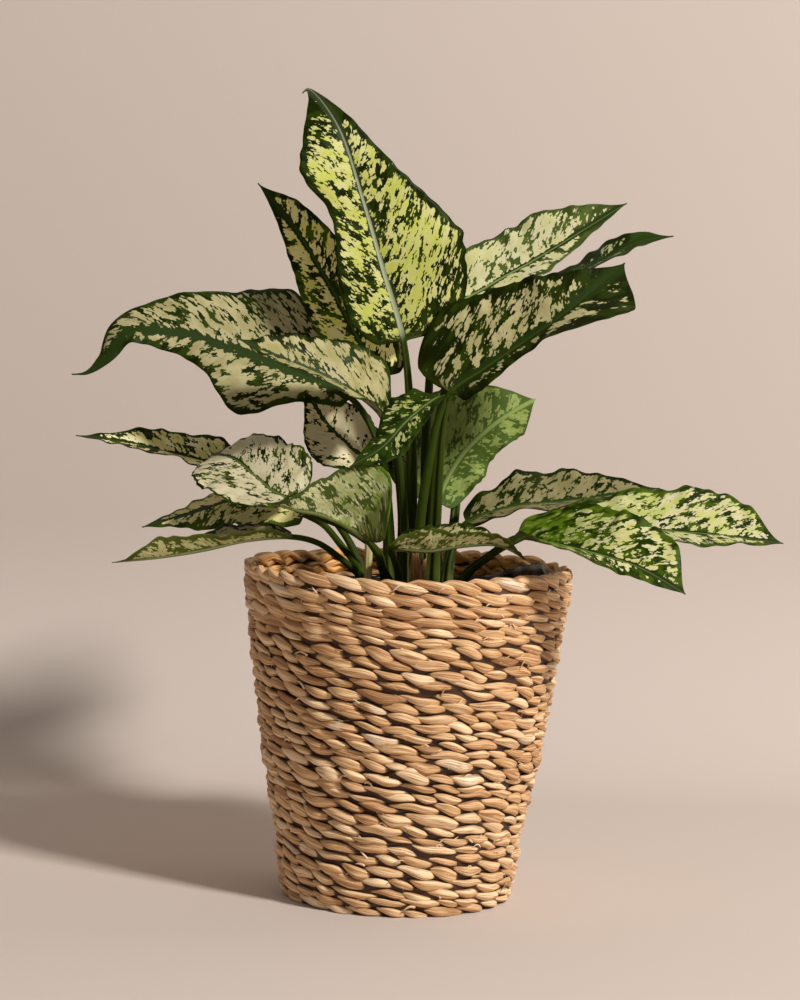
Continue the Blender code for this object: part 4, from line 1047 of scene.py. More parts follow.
        keel = rib * np.exp(-(distance / (rib * 1.1)) ** 2)
        upper = middle + normal * (sheet - groove)[..., None]
        lower = middle - normal * (sheet + keel)[..., None]
        edge = np.where(sign < 0, distance[:, :1], distance[:, -1:]) - distance
        values = (np.stack([sign * distance, along, 0 * along], -1), np.stack([edge, shares, reach], -1))
        return share, frames, upper, lower, values, stalk_line, collar

    def ring(self, centre: np.ndarray, across: np.ndarray, up: np.ndarray, radius: np.ndarray) -> tuple:
        """Upper and lower points round the stalk at each centre; its upper side is channelled."""
        angle = np.linspace(-math.pi / 2, math.pi / 2, 2 * self.columns + 1)
        side = across[:, None] * (np.sin(angle)[None, :, None] * radius[:, None, None])
        channel = np.cos(angle) * (1 - 0.42 * np.exp(-(angle / 0.5) ** 2))
        upper = centre[:, None] + side + up[:, None] * (channel[None, :, None] * radius[:, None, None])
        lower = centre[:, None] + side - up[:, None] * (np.cos(angle)[None, :, None] * radius[:, None, None])
        return upper, lower

    def build(self, paint: LeafPaint) -> bpy.types.Object:
        """Makes the whole leaf as one mesh, in its own colouring."""
        share, frames, upper, lower, (plan_values, place_values), stalk_line, collar = self.blade_faces()
        centre, across, up, along = frames
        top_radius = self.stalk_radii[2] * (1 + 0.2 * (self.plan.girth - 1))
        ring_upper, ring_lower = self.ring(centre, across, up, np.full(len(share), top_radius))
        opened = ease(share, 0.0, self.joint_share)[:, None, None]
        upper = ring_upper + (upper - ring_upper) * opened
        lower = ring_lower + (lower - ring_lower) * opened

        stalk_share = np.linspace(0, 1, self.stalk_stations, endpoint=False)
        places, headings = read_line(stalk_line, stalk_share)
        ups = [up[0]]
        for heading in headings[::-1]:
            ups.append(unit(ups[-1] - heading * (ups[-1] @ heading)))
        ups = np.array(ups[:0:-1])
        girth = 1 + (self.plan.girth - 1) * (1 - 0.8 * ease(stalk_share, 0.5, 1.0))
        radius = np.interp(stalk_share, (0.0, 0.3, 1.0), self.stalk_radii) * girth
        root_up = unit(ups[0] - np.array([0, 0, ups[0][2]]))
        places = np.vstack([collar - np.array([0, 0, ROOT_DEPTH]), places])
        ups, headings = np.vstack([root_up, ups]), np.vstack([[0, 0, 1.0], headings])
        radius = np.concatenate([[radius[0]], radius])
        stalk_upper, stalk_lower = self.ring(places, np.cross(headings, ups), ups, radius)

        total = 2 * self.columns + 1
        rows = len(radius) + len(share)
        everything = np.stack([np.vstack([stalk_upper, upper]), np.vstack([stalk_lower, lower])], 1)
        values = {"plan": np.zeros((rows, 2, total, 3)), "place": np.zeros((rows, 2, total, 3)),
                  "part": np.zeros((rows, 2, total, 3))}
        angle = np.linspace(-1, 1, total) * top_radius * math.pi / 2
        walked = np.concatenate([[-ROOT_DEPTH], stalk_share * self.stalk_length(stalk_line)])
        count = len(radius)
        values["plan"][:count, :, :, 0] = angle
        values["plan"][:count, :, :, 1] = walked[:, None, None]
        values["plan"][count:] = plan_values[:, None]
        values["place"][count:] = place_values[:, None]
        values["part"][count:, :, :, 0] = ease(share, 0.0, self.joint_share * 1.6)[:, None, None]
        values["part"][:, 0, :, 1] = 1.0
        values["part"][:count, :, :, 2] = np.concatenate([[0.0], stalk_share])[:, None, None]
        values["part"][count:, :, :, 2] = 1.0

        loop = everything.copy()
        loop[:, 1] = loop[:, 1, ::-1]
        for label in values:
            values[label][:, 1] = values[label][:, 1, ::-1]
        faces = grid_faces(rows, 2 * total, round_columns=True).tolist()
        faces.append(tuple(range(2 * total))[::-1])
        faces.append(tuple((rows - 1) * 2 * total + index for index in range(2 * total)))
        parts = MeshParts()
        parts.add(loop, faces, values)
        return parts.build(self.plan.name + "_fine", paint.material(self.plan, self.seed * 7.31))

    def stalk_length(self, line: np.ndarray) -> float:
        """Length of the stalk's line in metres."""
        return float(np.linalg.norm(np.diff(line, axis=0), axis=1).sum())


@dataclass(frozen=True)
class StrawFinish:
    """Colours of twisted dry grass; crevice is painted shade for the tucks and the gaps, and inner is painted light on
    the inside of the top rows.
    """

    base: Colour = (0.68, 0.395, 0.175)
    pale: Colour = (0.90, 0.64, 0.38)
    papery: Colour = (0.90, 0.73, 0.52)
    dark: Colour = (0.36, 0.17, 0.065)
    crevice: Colour = (0.060, 0.021, 0.006)
    inner: Colour = (1.0, 0.53, 0.17)


class StrawPaint:
    """The colouring of twisted dry grass: one node group, used by every row of the basket."""

    def __init__(self) -> None:
        """Builds the group."""
        kinds = {title(item.name): "Color" for item in fields(StrawFinish)}
        bench, given, end = new_group("dry_grass", {"Strand": "Vector", "Lobe": "Vector", **kinds},
                                      {"Color": "Color", "Roughness": "Float", "Height": "Float"})
        along, first, second = bench.split(given["Strand"])
        tone, tuck_shade, papery = bench.split(given["Lobe"])
        fibres = bench.noise(bench.join(bench.math("MULTIPLY", along, 60.0), bench.math("MULTIPLY", first, 1500.0),
                                        bench.math("MULTIPLY", second, 1500.0)), 2.0)
        blades = bench.noise(bench.join(bench.math("MULTIPLY", along, 28.0), bench.math("MULTIPLY", first, 480.0),
                                        bench.math("MULTIPLY", second, 480.0)), 1.0)
        patches = bench.noise(bench.join(bench.math("MULTIPLY", along, 90.0), bench.math("MULTIPLY", first, 120.0),
                                         bench.math("MULTIPLY", second, 120.0)), 1.0)
        shade = bench.math("MULTIPLY_ADD", bench.math("SUBTRACT", blades, 0.5), 1.5, tone)
        shade = bench.math("MULTIPLY_ADD", bench.math("SUBTRACT", fibres, 0.5), 1.7, shade)
        colour = bench.blend(bench.step(shade, 0.05, 0.55), given["Dark"], given["Base"])
        colour = bench.blend(bench.step(shade, 0.50, 1.05), colour, given["Pale"])
        # Painted light on the inside of the top rows: a bright warm colour where papery is pushed below -1.
        inner = bench.step(papery, -2.0, -1.0, 1.0, 0.0)
        inside_painted_light = bench.blend(bench.step(shade, -0.1, 0.6), (0.48, 0.17, 0.04), given["Inner"])
        colour = bench.blend(inner, colour, inside_painted_light)
        sheet = bench.math("MULTIPLY", papery, bench.step(bench.math("MULTIPLY_ADD", fibres, 0.5, patches), 0.66, 0.84, 0.0, 0.75))
        colour = bench.blend(sheet, colour, given["Papery"])
        colour = bench.blend(bench.step(fibres, 0.34, 0.47, 0.75, 0.0), colour, given["Dark"])
        # Painted shade: the crevice colour in the tucks, where rows touch and on the core.
        colour = bench.blend(bench.step(tuck_shade, 0.35, 1.0), colour, given["Crevice"])
        height = bench.math("MULTIPLY_ADD", blades, 0.8, bench.math("MULTIPLY", fibres, 0.5))
        gloss = bench.step(blades, 0.3, 0.7, 0.62, 0.46)
        for label, socket in (("Color", colour), ("Roughness", gloss), ("Height", height)):
            bench.feed(end.inputs[label], socket)
        self.group = bench.tree

    def material(self, finish: StrawFinish) -> bpy.types.Material:
        """A material in a finish."""
        material, bench, shader = new_material("dry_grass_rows")
        node = material.node_tree.nodes.new("ShaderNodeGroup")
        node.node_tree = self.group
        values = {title(item.name): getattr(finish, item.name) for item in fields(finish)}
        values |= {"Strand": bench.read("strand"), "Lobe": bench.read("lobe")}
        for label, value in values.items():
            bench.feed(node.inputs[label], value)
        bump = bench.add("ShaderNodeBump", {"Strength": 0.8, "Distance": 0.0008, "Height": node.outputs["Height"]})
        bench.feed(shader.inputs["Base Color"], node.outputs["Color"])
        bench.feed(shader.inputs["Roughness"], node.outputs["Roughness"])
        bench.feed(shader.inputs["Normal"], bump.outputs[0])
        return material


@dataclass
class Basket:
    """The basket: rows of two twisted strands of dry grass, over a dark core that stands for the stakes and paints the
    shade in the gaps.
    """

    height: float = 0.230
    outline: tuple = ((0.0, 0.0760), (0.008, 0.0795), (0.045, 0.0835), (0.080, 0.0905),
                      (0.145, 0.1010), (0.210, 0.1100), (0.225, 0.1115))
    rows: int = 32
    lobe_pitch: float = 0.0206
    segments: int = 300
    ring: int = 12
    swing_out: float = 0.0021
    swing_up: float = 0.0025
    reach: float = 2.0
    rim_lift: float = 0.0032
    thick_out: float = 0.0030
    axis_depth: float = 0.0018
    seed: int = 5
    pieces: int = 3

    def outer_radius(self, z: np.ndarray) -> np.ndarray:
        """Radius of the wall at a height."""
        heights, radii = zip(*self.outline)
        return np.interp(z, heights, radii)

    def strand(self, parts: MeshParts, row: dict, which: int, rng: np.random.Generator) -> None:
        """Adds one strand of a row.

        Args:
            parts: where the mesh is collected.
            row: the row's twists, phase, circle and size.
            which: 0 or 1, the strand of the pair.
            rng: seeded randomness.
        """
        turn = np.linspace(0, 2 * math.pi, self.segments, endpoint=False)
        twists = row["twists"]
        wobble = ripple(turn, (2, 3, 5, 9), row["rng"]) if which == 0 else row["wobble"]
        row["wobble"] = wobble
        phase = -twists * turn + math.pi * which + row["phase"] + 1.0 * wobble
        lobe = np.round(phase / (2 * math.pi)).astype(int) % (twists + 1)
        bulk = rng.normal(1.02, 0.15, twists + 1).clip(0.68, 1.32)[lobe]
        tone = rng.normal(0.54, 0.20, twists + 1)[lobe] + 0.05 * row["wobble"]
        # Painted light: the lower rows are lighter, for light thrown up from the floor.
        tone = tone + 0.22 * max(0.0, 1 - row["number"] / (0.7 * self.rows))
        papery = (rng.random(twists + 1) < 0.05).astype(float)[lobe]
        lift = rng.normal(0.0, 0.0007, twists + 1)[lobe]
        turned = (phase + math.pi) % (2 * math.pi) - math.pi
        shown = np.cos(turned)
        thin = 0.22 + 0.33 * (1 - row["dark"])
        swell = thin + (1 - thin) * np.maximum(np.cos((turned + 0.22) * 0.74), 0.0) ** 0.9
        half = row["half"]
        slide = np.where(np.abs(turned) < self.reach, turned / self.reach,
                         np.sign(turned) * (math.pi - np.abs(turned)) / (math.pi - self.reach))
        thick_up = half * 0.92 * swell * bulk
        thick_out = self.thick_out * (0.50 + 0.50 * swell) * np.minimum(bulk, 1.0)
        angle = np.linspace(0, 2 * math.pi, self.ring, endpoint=False)
        angle = angle - 0.30 * np.sin(angle)
        shift = 9 * tone[:, None]
        crease = 1 + 0.13 * np.sin(3 * angle[None, :] + shift) + 0.09 * np.sin(5 * angle[None, :] + 2 * shift)
        out_part = (self.swing_out * shown)[:, None] + thick_out[:, None] * crease * np.cos(angle)
        up_part = ((self.swing_up * row["half"] / 0.0036) * slide + lift)[:, None] \
            + thick_up[:, None] * crease * np.sin(angle)
        points = row["place"](turn[:, None], out_part, up_part)
        length = turn * row["radius"]
        strand = np.stack(np.broadcast_arrays((length + row["number"] * 3.7 + which * 1.3)[:, None],
                                              0.003 * np.cos(angle) + row["number"] * 0.1,
                                              0.003 * np.sin(angle) + which * 0.05), -1)
        # Painted shade: where rows touch, and on each twist's hidden back in the rows below the top five.
        contact_shade = (0.50 + 0.35 * row["dark"]) * ease(np.abs(np.sin(angle)), 0.86, 1.0)
        tuck_shade = row["dark"] * ease(-shown, -0.15, 0.4)[:, None] + contact_shade
        # Painted light: the inner side of the top five rows takes the bright inner colour.
        painted_light_inside = (1 - row["dark"]) * ease(-np.cos(angle), 0.0, 0.4)
        lobe_value = np.stack(np.broadcast_arrays(tone[:, None], np.clip(tuck_shade, 0, 1), papery[:, None] - 2 * painted_light_inside), -1)
        faces = grid_faces(self.segments, self.ring, round_rows=True, round_columns=True)
        parts.add(points, faces, {"strand": strand, "lobe": lobe_value})

    def wall_rows(self) -> list[dict]:
        """Size and place of every row of the wall, from the foot up."""
        rng = np.random.default_rng(self.seed)
        weights = rng.normal(1.0, 0.13, self.rows).clip(0.72, 1.3)
        weights[-1], weights[-2] = 1.22, 1.12
        tops = np.cumsum(weights) / weights.sum() * self.height
        result = []
        for number, (top, weight) in enumerate(zip(tops, weights)):
            size = weight / weights.sum() * self.height
            z = top - size / 2
            radius = float(self.outer_radius(np.array(z))) - self.axis_depth + rng.normal(0, 0.0005)
            slope = float(self.outer_radius(np.array(z + 0.01)) - self.outer_radius(np.array(z - 0.01))) / 0.02

            def place(turn: np.ndarray, out: np.ndarray, up: np.ndarray, z: float = z, radius: float = radius,
                      slope: float = slope) -> np.ndarray:
                """A point out from the row's circle and up from it."""
                sway = noise_at(np.stack([6 * np.cos(turn), 6 * np.sin(turn), 0 * turn + 12 * z], -1), 1.0)
                sway = sway * 0.0022 * min(1.0, z / 0.02) * min(1.0, (self.height - z) / 0.03)
                sway = sway + self.rim_lift * (z / self.height) ** 6 * np.maximum(-np.sin(turn), 0.0) ** 0.7
                level = np.maximum(z + up + sway, 0.0001)
                reach = radius + out + slope * up
                lean = BASKET_LEAN * level / self.height
                return np.stack([reach * np.cos(turn) + lean, reach * np.sin(turn), level + 0 * reach], -1)

            phase = rng.uniform(0.0, 2 * math.pi)
            twists = round(2 * math.pi * radius / (2 * self.lobe_pitch))
            # dark is 1 below the top five rows: their hidden backs get painted shade, while the top five get painted
            # light on their inner side.
            result.append({"twists": twists, "phase": phase, "radius": radius, "half": size / 2,
                           "place": place, "number": number, "rng": rng, "dark": float(number < self.rows - 5)})
        return result

    def floor_rows(self) -> list[dict]:
        """Rings of the flat woven underside."""
        rng = np.random.default_rng(self.seed + 1)
        result = []
        for number in range(10):
            radius = 0.0720 - 0.0072 * number

            def place(turn: np.ndarray, out: np.ndarray, up: np.ndarray, radius: float = radius) -> np.ndarray:
                """A point below the ring's circle and out from it."""
                reach = np.maximum(radius + up, 0.0002)
                return np.stack([reach * np.cos(turn), reach * np.sin(turn), np.maximum(0.0056 - out, 0.0)
                                 + 0 * reach], -1)

            twists = max(2, round(2 * math.pi * radius / (2 * self.lobe_pitch)))
            result.append({"twists": twists, "phase": rng.uniform(0, 6), "radius": radius, "half": 0.0036,
                           "place": place, "number": 40 + number, "rng": rng, "dark": 1.0})
        return result

    def core(self, parts: MeshParts) -> None:
        """Adds the dark wall that closes the gaps between strands: it stands for the hidden stakes, and its crevice
        colour is painted shade in the gaps.
        """
        turn = np.linspace(0, 2 * math.pi, 96, endpoint=False)
        heights = np.array([0.004, 0.008, 0.045, 0.080, 0.145, 0.210, 0.2262])
        radius = self.outer_radius(heights) - self.axis_depth + 0.0003
        loops = [(h, r) for h, r in zip(heights, radius)] + [(h, r - 0.0006) for h, r in zip(heights[::-1], radius[::-1])]
        level, reach = (np.array(part)[:, None] for part in zip(*loops))
        points = np.stack(np.broadcast_arrays(reach * np.cos(turn) + BASKET_LEAN * level / self.height,
                                              reach * np.sin(turn), level), -1)
        faces = grid_faces(len(loops), 96, round_rows=True, round_columns=True)
        parts.add(points, faces, {"strand": np.zeros(3), "lobe": np.array([0.0, 1.0, 0.0])})

    def build(self, paint: StrawPaint) -> list[bpy.types.Object]:
        """Makes the wall in a few pieces, and the underside."""
        material = paint.material(StrawFinish())
        rng = np.random.default_rng(self.seed + 2)
        rows = self.wall_rows()
        made = []
        share = math.ceil(len(rows) / self.pieces)
        for piece in range(self.pieces):
            parts = MeshParts()
            for row in rows[piece * share:(piece + 1) * share]:
                for which in (0, 1):
                    self.strand(parts, row, which, rng)
            made.append(parts.build(f"basket_rows_{piece + 1}", material))
        parts = MeshParts()
        self.core(parts)
        flat = Basket(segments=120, ring=8, thick_out=0.0029, swing_out=0.0023)
        for row in self.floor_rows():
            for which in (0, 1):
                flat.strand(parts, row, which, rng)
        made.append(parts.build("basket_core_and_foot", material))
        return made


@dataclass
class Fibres:
    """Frayed ends, thin flakes and stray hairs of the dry grass, standing off the rows."""

    count: int = 340
    seed: int = 77
    steps: int = 6
    sides: int = 4

    def strip(self, parts: MeshParts, line: np.ndarray, across: np.ndarray, width: float, thick: float,
              tone: float, papery: float) -> None:
        """Adds one thin tapering strip along a line."""
        along = unit(np.gradient(line, axis=0))
        side = unit(across - along * (along * across).sum(1, keepdims=True))
        out = np.cross(along, side)
        share = np.linspace(0, 1, len(line))[:, None]
        taper = np.clip(1.15 - share ** 2, 0.15, 1.0)
        angle = np.linspace(0, 2 * math.pi, self.sides, endpoint=False)
        points = (line[:, None] + side[:, None] * (taper * width * np.cos(angle))[..., None]
                  + out[:, None] * (taper * thick * np.sin(angle))[..., None])
        faces = grid_faces(len(line), self.sides, round_columns=True).tolist()
        faces.append(tuple(range(self.sides))[::-1])
        faces.append(tuple((len(line) - 1) * self.sides + index for index in range(self.sides)))
        strand = np.stack(np.broadcast_arrays(share * 0.02 + tone, width * np.cos(angle), thick * np.sin(angle)), -1)
        parts.add(points, faces, {"strand": strand, "lobe": np.array([tone, 0.0, papery])})

    def build(self, basket: Basket, paint: StrawPaint) -> bpy.types.Object:
        """Makes all the strips as one mesh."""
        rng = np.random.default_rng(self.seed)
        parts = MeshParts()
        for number in range(self.count):
            turn = rng.uniform(0, 2 * math.pi)
            z = rng.uniform(0.006, 0.226)
            hair = rng.random() < 0.45
            length = rng.uniform(0.008, 0.020) if hair else rng.uniform(0.006, 0.013)
            share = np.linspace(0, 1, self.steps)
            heading = rng.choice([-1.0, 1.0]) * rng.uniform(0.5, 1.0)
            climb = rng.uniform(-0.7, 0.5)
            stand = rng.uniform(0.0006, 0.0035) if hair else rng.uniform(0.0003, 0.0014)
            radius = basket.outer_radius(np.array(z)) + 0.0012 + stand * np.sin(share * rng.uniform(1.6, 3.0))
            angle = turn + heading * length * share / radius
            level = np.clip(z + climb * length * share + 0.002 * np.sin(share * rng.uniform(0, 5)), 0.001, 0.2295)
            line = np.stack([radius * np.cos(angle) + BASKET_LEAN * level / basket.height,
                             radius * np.sin(angle), level], -1)
            across = np.array([0.2 * math.cos(turn), 0.2 * math.sin(turn), 1.0])
            width = rng.uniform(0.00008, 0.00014) if hair else rng.uniform(0.0004, 0.0011)
            thick = width if hair else 0.00014
            self.strip(parts, line, across[None], width, thick, rng.uniform(0.3, 1.1), float(rng.random() < 0.5))
        return parts.build("basket_fibres", paint.material(StrawFinish()))


@dataclass
class Liner:
    """The loose black film inside the basket."""

    top: float = 0.2105
    foot: float = 0.0090
    thickness: float = 0.0006
    tab_height: float = 0.0175
    tab_angle: float = 24.0
    tab_spread: float = 30.0

    def build(self, basket: Basket) -> bpy.types.Object:
        """Makes the film, crinkled and glossy."""
        columns, rows = 220, 44
        turn = np.linspace(0, 2 * math.pi, columns, endpoint=False)
        rng = np.random.default_rng(17)
        degrees = (np.degrees(turn) - self.tab_angle + 180) % 360 - 180
        tab = self.tab_height * np.exp(-(degrees / self.tab_spread) ** 2)
        edge = self.top + 0.0012 * np.sin(5 * turn) + tab + 0.0007 * ripple(turn, (19, 31, 47), rng)
        share = np.linspace(0, 1, rows) ** 0.8
        level = self.foot + (edge[None, :] - self.foot) * share[:, None]
        upper = ease(level, 0.185, 0.222)
        radius = basket.outer_radius(np.minimum(level, 0.225)) - 0.0089
        place = np.stack(np.broadcast_arrays(np.cos(turn) * 0.1, np.sin(turn) * 0.1, level), -1)
        crinkle = np.abs(noise_at(place, 60.0)) * 0.0035 + np.abs(noise_at(place, 160.0, 5.0)) * 0.0016
        radius = radius - upper * (0.0009 * (1 + np.sin(7 * turn + 1)) + crinkle)
        lean = BASKET_LEAN * level / basket.height
        outer = np.stack([radius * np.cos(turn) + lean, radius * np.sin(turn), level], -1)
        inner = outer - np.stack([np.cos(turn), np.sin(turn), 0 * turn], -1)[None] * self.thickness
        parts = MeshParts()
        faces = grid_faces(2 * rows, columns, round_columns=True)
        parts.add(np.concatenate([outer, inner[::-1]]), faces, {})
        base = parts.count
        bottom = [tuple(range(columns))[::-1], tuple((2 * rows - 1) * columns + i for i in range(columns))]
        parts.faces += bottom
        material, _, _ = new_material("black_film_gloss", Base_Color=(0.003, 0.003, 0.0035), Roughness=0.20)
        LOG.debug("liner of %d points", base)
        return parts.build("plastic_liner_fine", material)


@dataclass
class Soil:
    """Crumbly potting soil, with bits lying on it."""

    edge_height: float = 0.2080
    heap: float = 0.0060
    heap_spread: float = 0.050
    foot: float = 0.0100

    def level(self, x: np.ndarray, y: np.ndarray) -> np.ndarray:
        """Height of the surface."""
        place = np.stack(np.broadcast_arrays(x, y, 0.0 * x), -1)
        rough = noise_at(place, 90.0) * 0.0018 + noise_at(place, 260.0, 3.0) * 0.0010
        return self.edge_height + self.heap * np.exp(-(x ** 2 + y ** 2) / self.heap_spread ** 2) + rough

    def build(self, basket: Basket) -> bpy.types.Object:
        """Makes the soil and its crumbs as one mesh."""
        columns, rings = 150, 48
        turn = np.linspace(0, 2 * math.pi, columns, endpoint=False)
        top_radius = float(basket.outer_radius(np.array(self.edge_height))) - 0.0132
        reach = np.linspace(1.0, 0.01, rings)[:, None] * top_radius
        x, y = reach * np.cos(turn), reach * np.sin(turn)
        top = np.stack([x + BASKET_LEAN * 0.9, y, self.level(x, y)], -1)
        skirt_levels = np.array([self.foot, 0.06, 0.12, 0.17])
        skirt_radius = basket.outer_radius(skirt_levels) - 0.0132
        lean = (BASKET_LEAN * skirt_levels / basket.height)[:, None]
        skirt = np.stack(np.broadcast_arrays(skirt_radius[:, None] * np.cos(turn) + lean,
                                             skirt_radius[:, None] * np.sin(turn), skirt_levels[:, None]), -1)
        parts = MeshParts()
        total = len(skirt) + rings
        faces = grid_faces(total, columns, round_columns=True).tolist()
        faces.append(tuple(range(columns))[::-1])
        faces.append(tuple((total - 1) * columns + index for index in range(columns)))
        parts.add(np.concatenate([skirt, top]), faces, {"crumb": np.zeros(3)})
        rng = np.random.default_rng(23)
        corners = unit(np.array([[x, y, z] for x in (-1, 0, 1) for y in (-1, 0, 1) for z in (-1, 1)], float))
        quads = [(0, 2, 8, 6), (8, 2, 3, 9), (0, 6, 7, 1), (6, 12, 13, 7), (12, 14, 15, 13), (14, 8, 9, 15)]
        box = unit(np.array([[x, y, z] for x in (-1, 1) for y in (-1, 1) for z in (-1, 1)], float))
        quads = [(0, 1, 3, 2), (4, 6, 7, 5), (0, 4, 5, 1), (2, 3, 7, 6), (0, 2, 6, 4), (1, 5, 7, 3)]
        LOG.debug("crumbs start from %d corners", len(corners))
        for _ in range(420):
            spot = top_radius * 0.97 * math.sqrt(rng.random())
            angle = rng.uniform(0, 2 * math.pi)
            x, y = spot * math.cos(angle), spot * math.sin(angle)
            size = rng.uniform(0.0008, 0.0030)
            shape = box * rng.uniform(0.5, 1.2, (8, 3)) * size
            z = float(self.level(np.array([x]), np.array([y]))[0])
            tone = rng.random()
            parts.add(shape + np.array([x + BASKET_LEAN * 0.9, y, z + size * 0.2]), quads,
                      {"crumb": np.array([tone, 0.0, 0.0])})
        material, bench, shader = new_material("soil_crumbs", Roughness=0.9)
        place = bench.add("ShaderNodeTexCoord", {}).outputs["Object"]
        specks = bench.noise(place, 3.0, 320.0)
        colour = bench.blend(bench.step(specks, 0.35, 0.70), (0.016, 0.010, 0.006), (0.075, 0.048, 0.028))
        tone = bench.split(bench.read("crumb"))[0]
        colour = bench.blend(bench.step(tone, 0.80, 1.0, 0.0, 0.7), colour, (0.20, 0.13, 0.075))
        bump = bench.add("ShaderNodeBump", {"Strength": 0.7, "Distance": 0.0012, "Height": specks})
        bench.feed(shader.inputs["Base Color"], colour)
        bench.feed(shader.inputs["Normal"], bump.outputs[0])
        return parts.build("potting_soil_fine", material)


@dataclass
class Stub:
    """The pale stump of a cut stalk."""

    spot: tuple[float, float] = (-0.0251, -0.0380)
    foot: float = 0.1925
    top: float = 0.2530
    radius: float = 0.0028
    slope: float = 0.45

    def build(self) -> bpy.types.Object:
        """Makes the stump, ribbed, with a ragged slanting cut."""
        columns, rows = 40, 26
        turn = np.linspace(0, 2 * math.pi, columns, endpoint=False)
        rng = np.random.default_rng(31)
        ribs = 1 + 0.035 * np.cos(9 * turn) + 0.02 * ripple(turn, (5, 13), rng)
        share = np.linspace(0, 1, rows)[:, None]
        reach = self.radius * ribs * (1 - 0.05 * share)
        cut = self.top - self.slope * self.radius * (1 + np.cos(turn)) + 0.0006 * ripple(turn, (6, 11, 17), rng)
        level = self.foot + (cut - self.foot) * share
        side = np.stack([self.spot[0] + reach * np.cos(turn), self.spot[1] + reach * np.sin(turn), level], -1)
        inner = []
        for shrink, drop in ((0.86, 0.0001), (0.72, 0.0009), (0.40, 0.0013), (0.10, 0.0011)):
            rough = 0.0003 * ripple(turn, (7, 12), rng)
            centre_level = self.top - self.slope * self.radius * (1 + np.cos(turn) * shrink)
            inner.append(np.stack([self.spot[0] + reach[-1] * shrink * np.cos(turn),
                                   self.spot[1] + reach[-1] * shrink * np.sin(turn), centre_level - drop + rough], -1))
        points = np.concatenate([side, np.array(inner)])
        total = len(points)
        faces = grid_faces(total, columns, round_columns=True).tolist()
        faces.append(tuple(range(columns))[::-1])
        faces.append(tuple((total - 1) * columns + index for index in range(columns)))
        cut_mask = np.zeros((total, columns, 3))
        cut_mask[rows - 1:, :, 0] = 1.0
        cut_mask[:rows, :, 1] = share
        parts = MeshParts()
        parts.add(points, faces, {"cut": cut_mask})
        material, bench, shader = new_material("pale_stalk_skin", Roughness=0.55)
        cut_value, height, _ = bench.split(bench.read("cut"))
        place = bench.add("ShaderNodeTexCoord", {}).outputs["Object"]
        x, y, z = bench.split(place)
        streak = bench.noise(bench.join(bench.math("MULTIPLY", x, 900.0), bench.math("MULTIPLY", y, 900.0),
                                        bench.math("MULTIPLY", z, 40.0)), 2.0)
        skin = bench.blend(bench.step(streak, 0.35, 0.65), (0.40, 0.34, 0.11), (0.62, 0.54, 0.24))
        skin = bench.blend(bench.step(height, 0.80, 1.0, 0.0, 0.8), skin, (0.60, 0.50, 0.30))
        colour = bench.blend(cut_value, skin, (0.66, 0.58, 0.40))
        bench.feed(shader.inputs["Base Color"], colour)
        bump = bench.add("ShaderNodeBump", {"Strength": 0.6, "Distance": 0.0004, "Height": streak})
        bench.feed(shader.inputs["Normal"], bump.outputs[0])
        return parts.build("cut_stalk_stub_fine", material)


@dataclass
class Sheath:
    """The dry papery sheath round the foot of the small front leaf's stalk."""

    root: tuple[float, float]
    inner_radius: float = 0.0044
    thickness: float = 0.0004
    foot: float = 0.2165
    height: float = 0.0230

    def build(self) -> bpy.types.Object:
        """Makes the torn, flared tube."""
        columns, rows = 64, 26
        turn = np.linspace(0, 2 * math.pi, columns, endpoint=False)
        rng = np.random.default_rng(41)
        share = np.linspace(0, 1, rows)[:, None]
        torn = 0.004 * np.sin(3 * turn + 1) + 0.0015 * np.sin(7 * turn) + 0.0007 * ripple(turn, (12, 19), rng)
        level = self.foot + self.height * share + torn * share ** 2
        flare = 1 + 0.16 * share * (1 + np.sin(2 * turn + 2)) + 0.05 * share * ripple(turn, (4, 9), rng)
        inner = self.inner_radius * flare

        def wall(radius: np.ndarray) -> np.ndarray:
            """Points of the tube at a radius."""
            return np.stack([self.root[0] + radius * np.cos(turn), self.root[1] + radius * np.sin(turn), level], -1)

        points = np.concatenate([wall(inner + self.thickness), wall(inner)[::-1]])
        faces = grid_faces(2 * rows, columns, round_rows=True, round_columns=True)
        parts = MeshParts()
        high = np.concatenate([share, share[::-1]])[..., None] * np.ones((2 * rows, columns, 3))
        parts.add(points, faces, {"height": high})
        material, bench, shader = new_material("dry_sheath_paper", Roughness=0.65)
        place = bench.add("ShaderNodeTexCoord", {}).outputs["Object"]
        x, y, z = bench.split(place)
        streak = bench.noise(bench.join(bench.math("MULTIPLY", x, 1100.0), bench.math("MULTIPLY", y, 1100.0),
                                        bench.math("MULTIPLY", z, 60.0)), 2.0)
        colour = bench.blend(bench.step(streak, 0.35, 0.68), (0.27, 0.100, 0.036), (0.72, 0.39, 0.18))
        bench.feed(shader.inputs["Base Color"], colour)
        bump = bench.add("ShaderNodeBump", {"Strength": 0.7, "Distance": 0.0004, "Height": streak})
        bench.feed(shader.inputs["Normal"], bump.outputs[0])
        return parts.build("dry_sheath_fine", material)


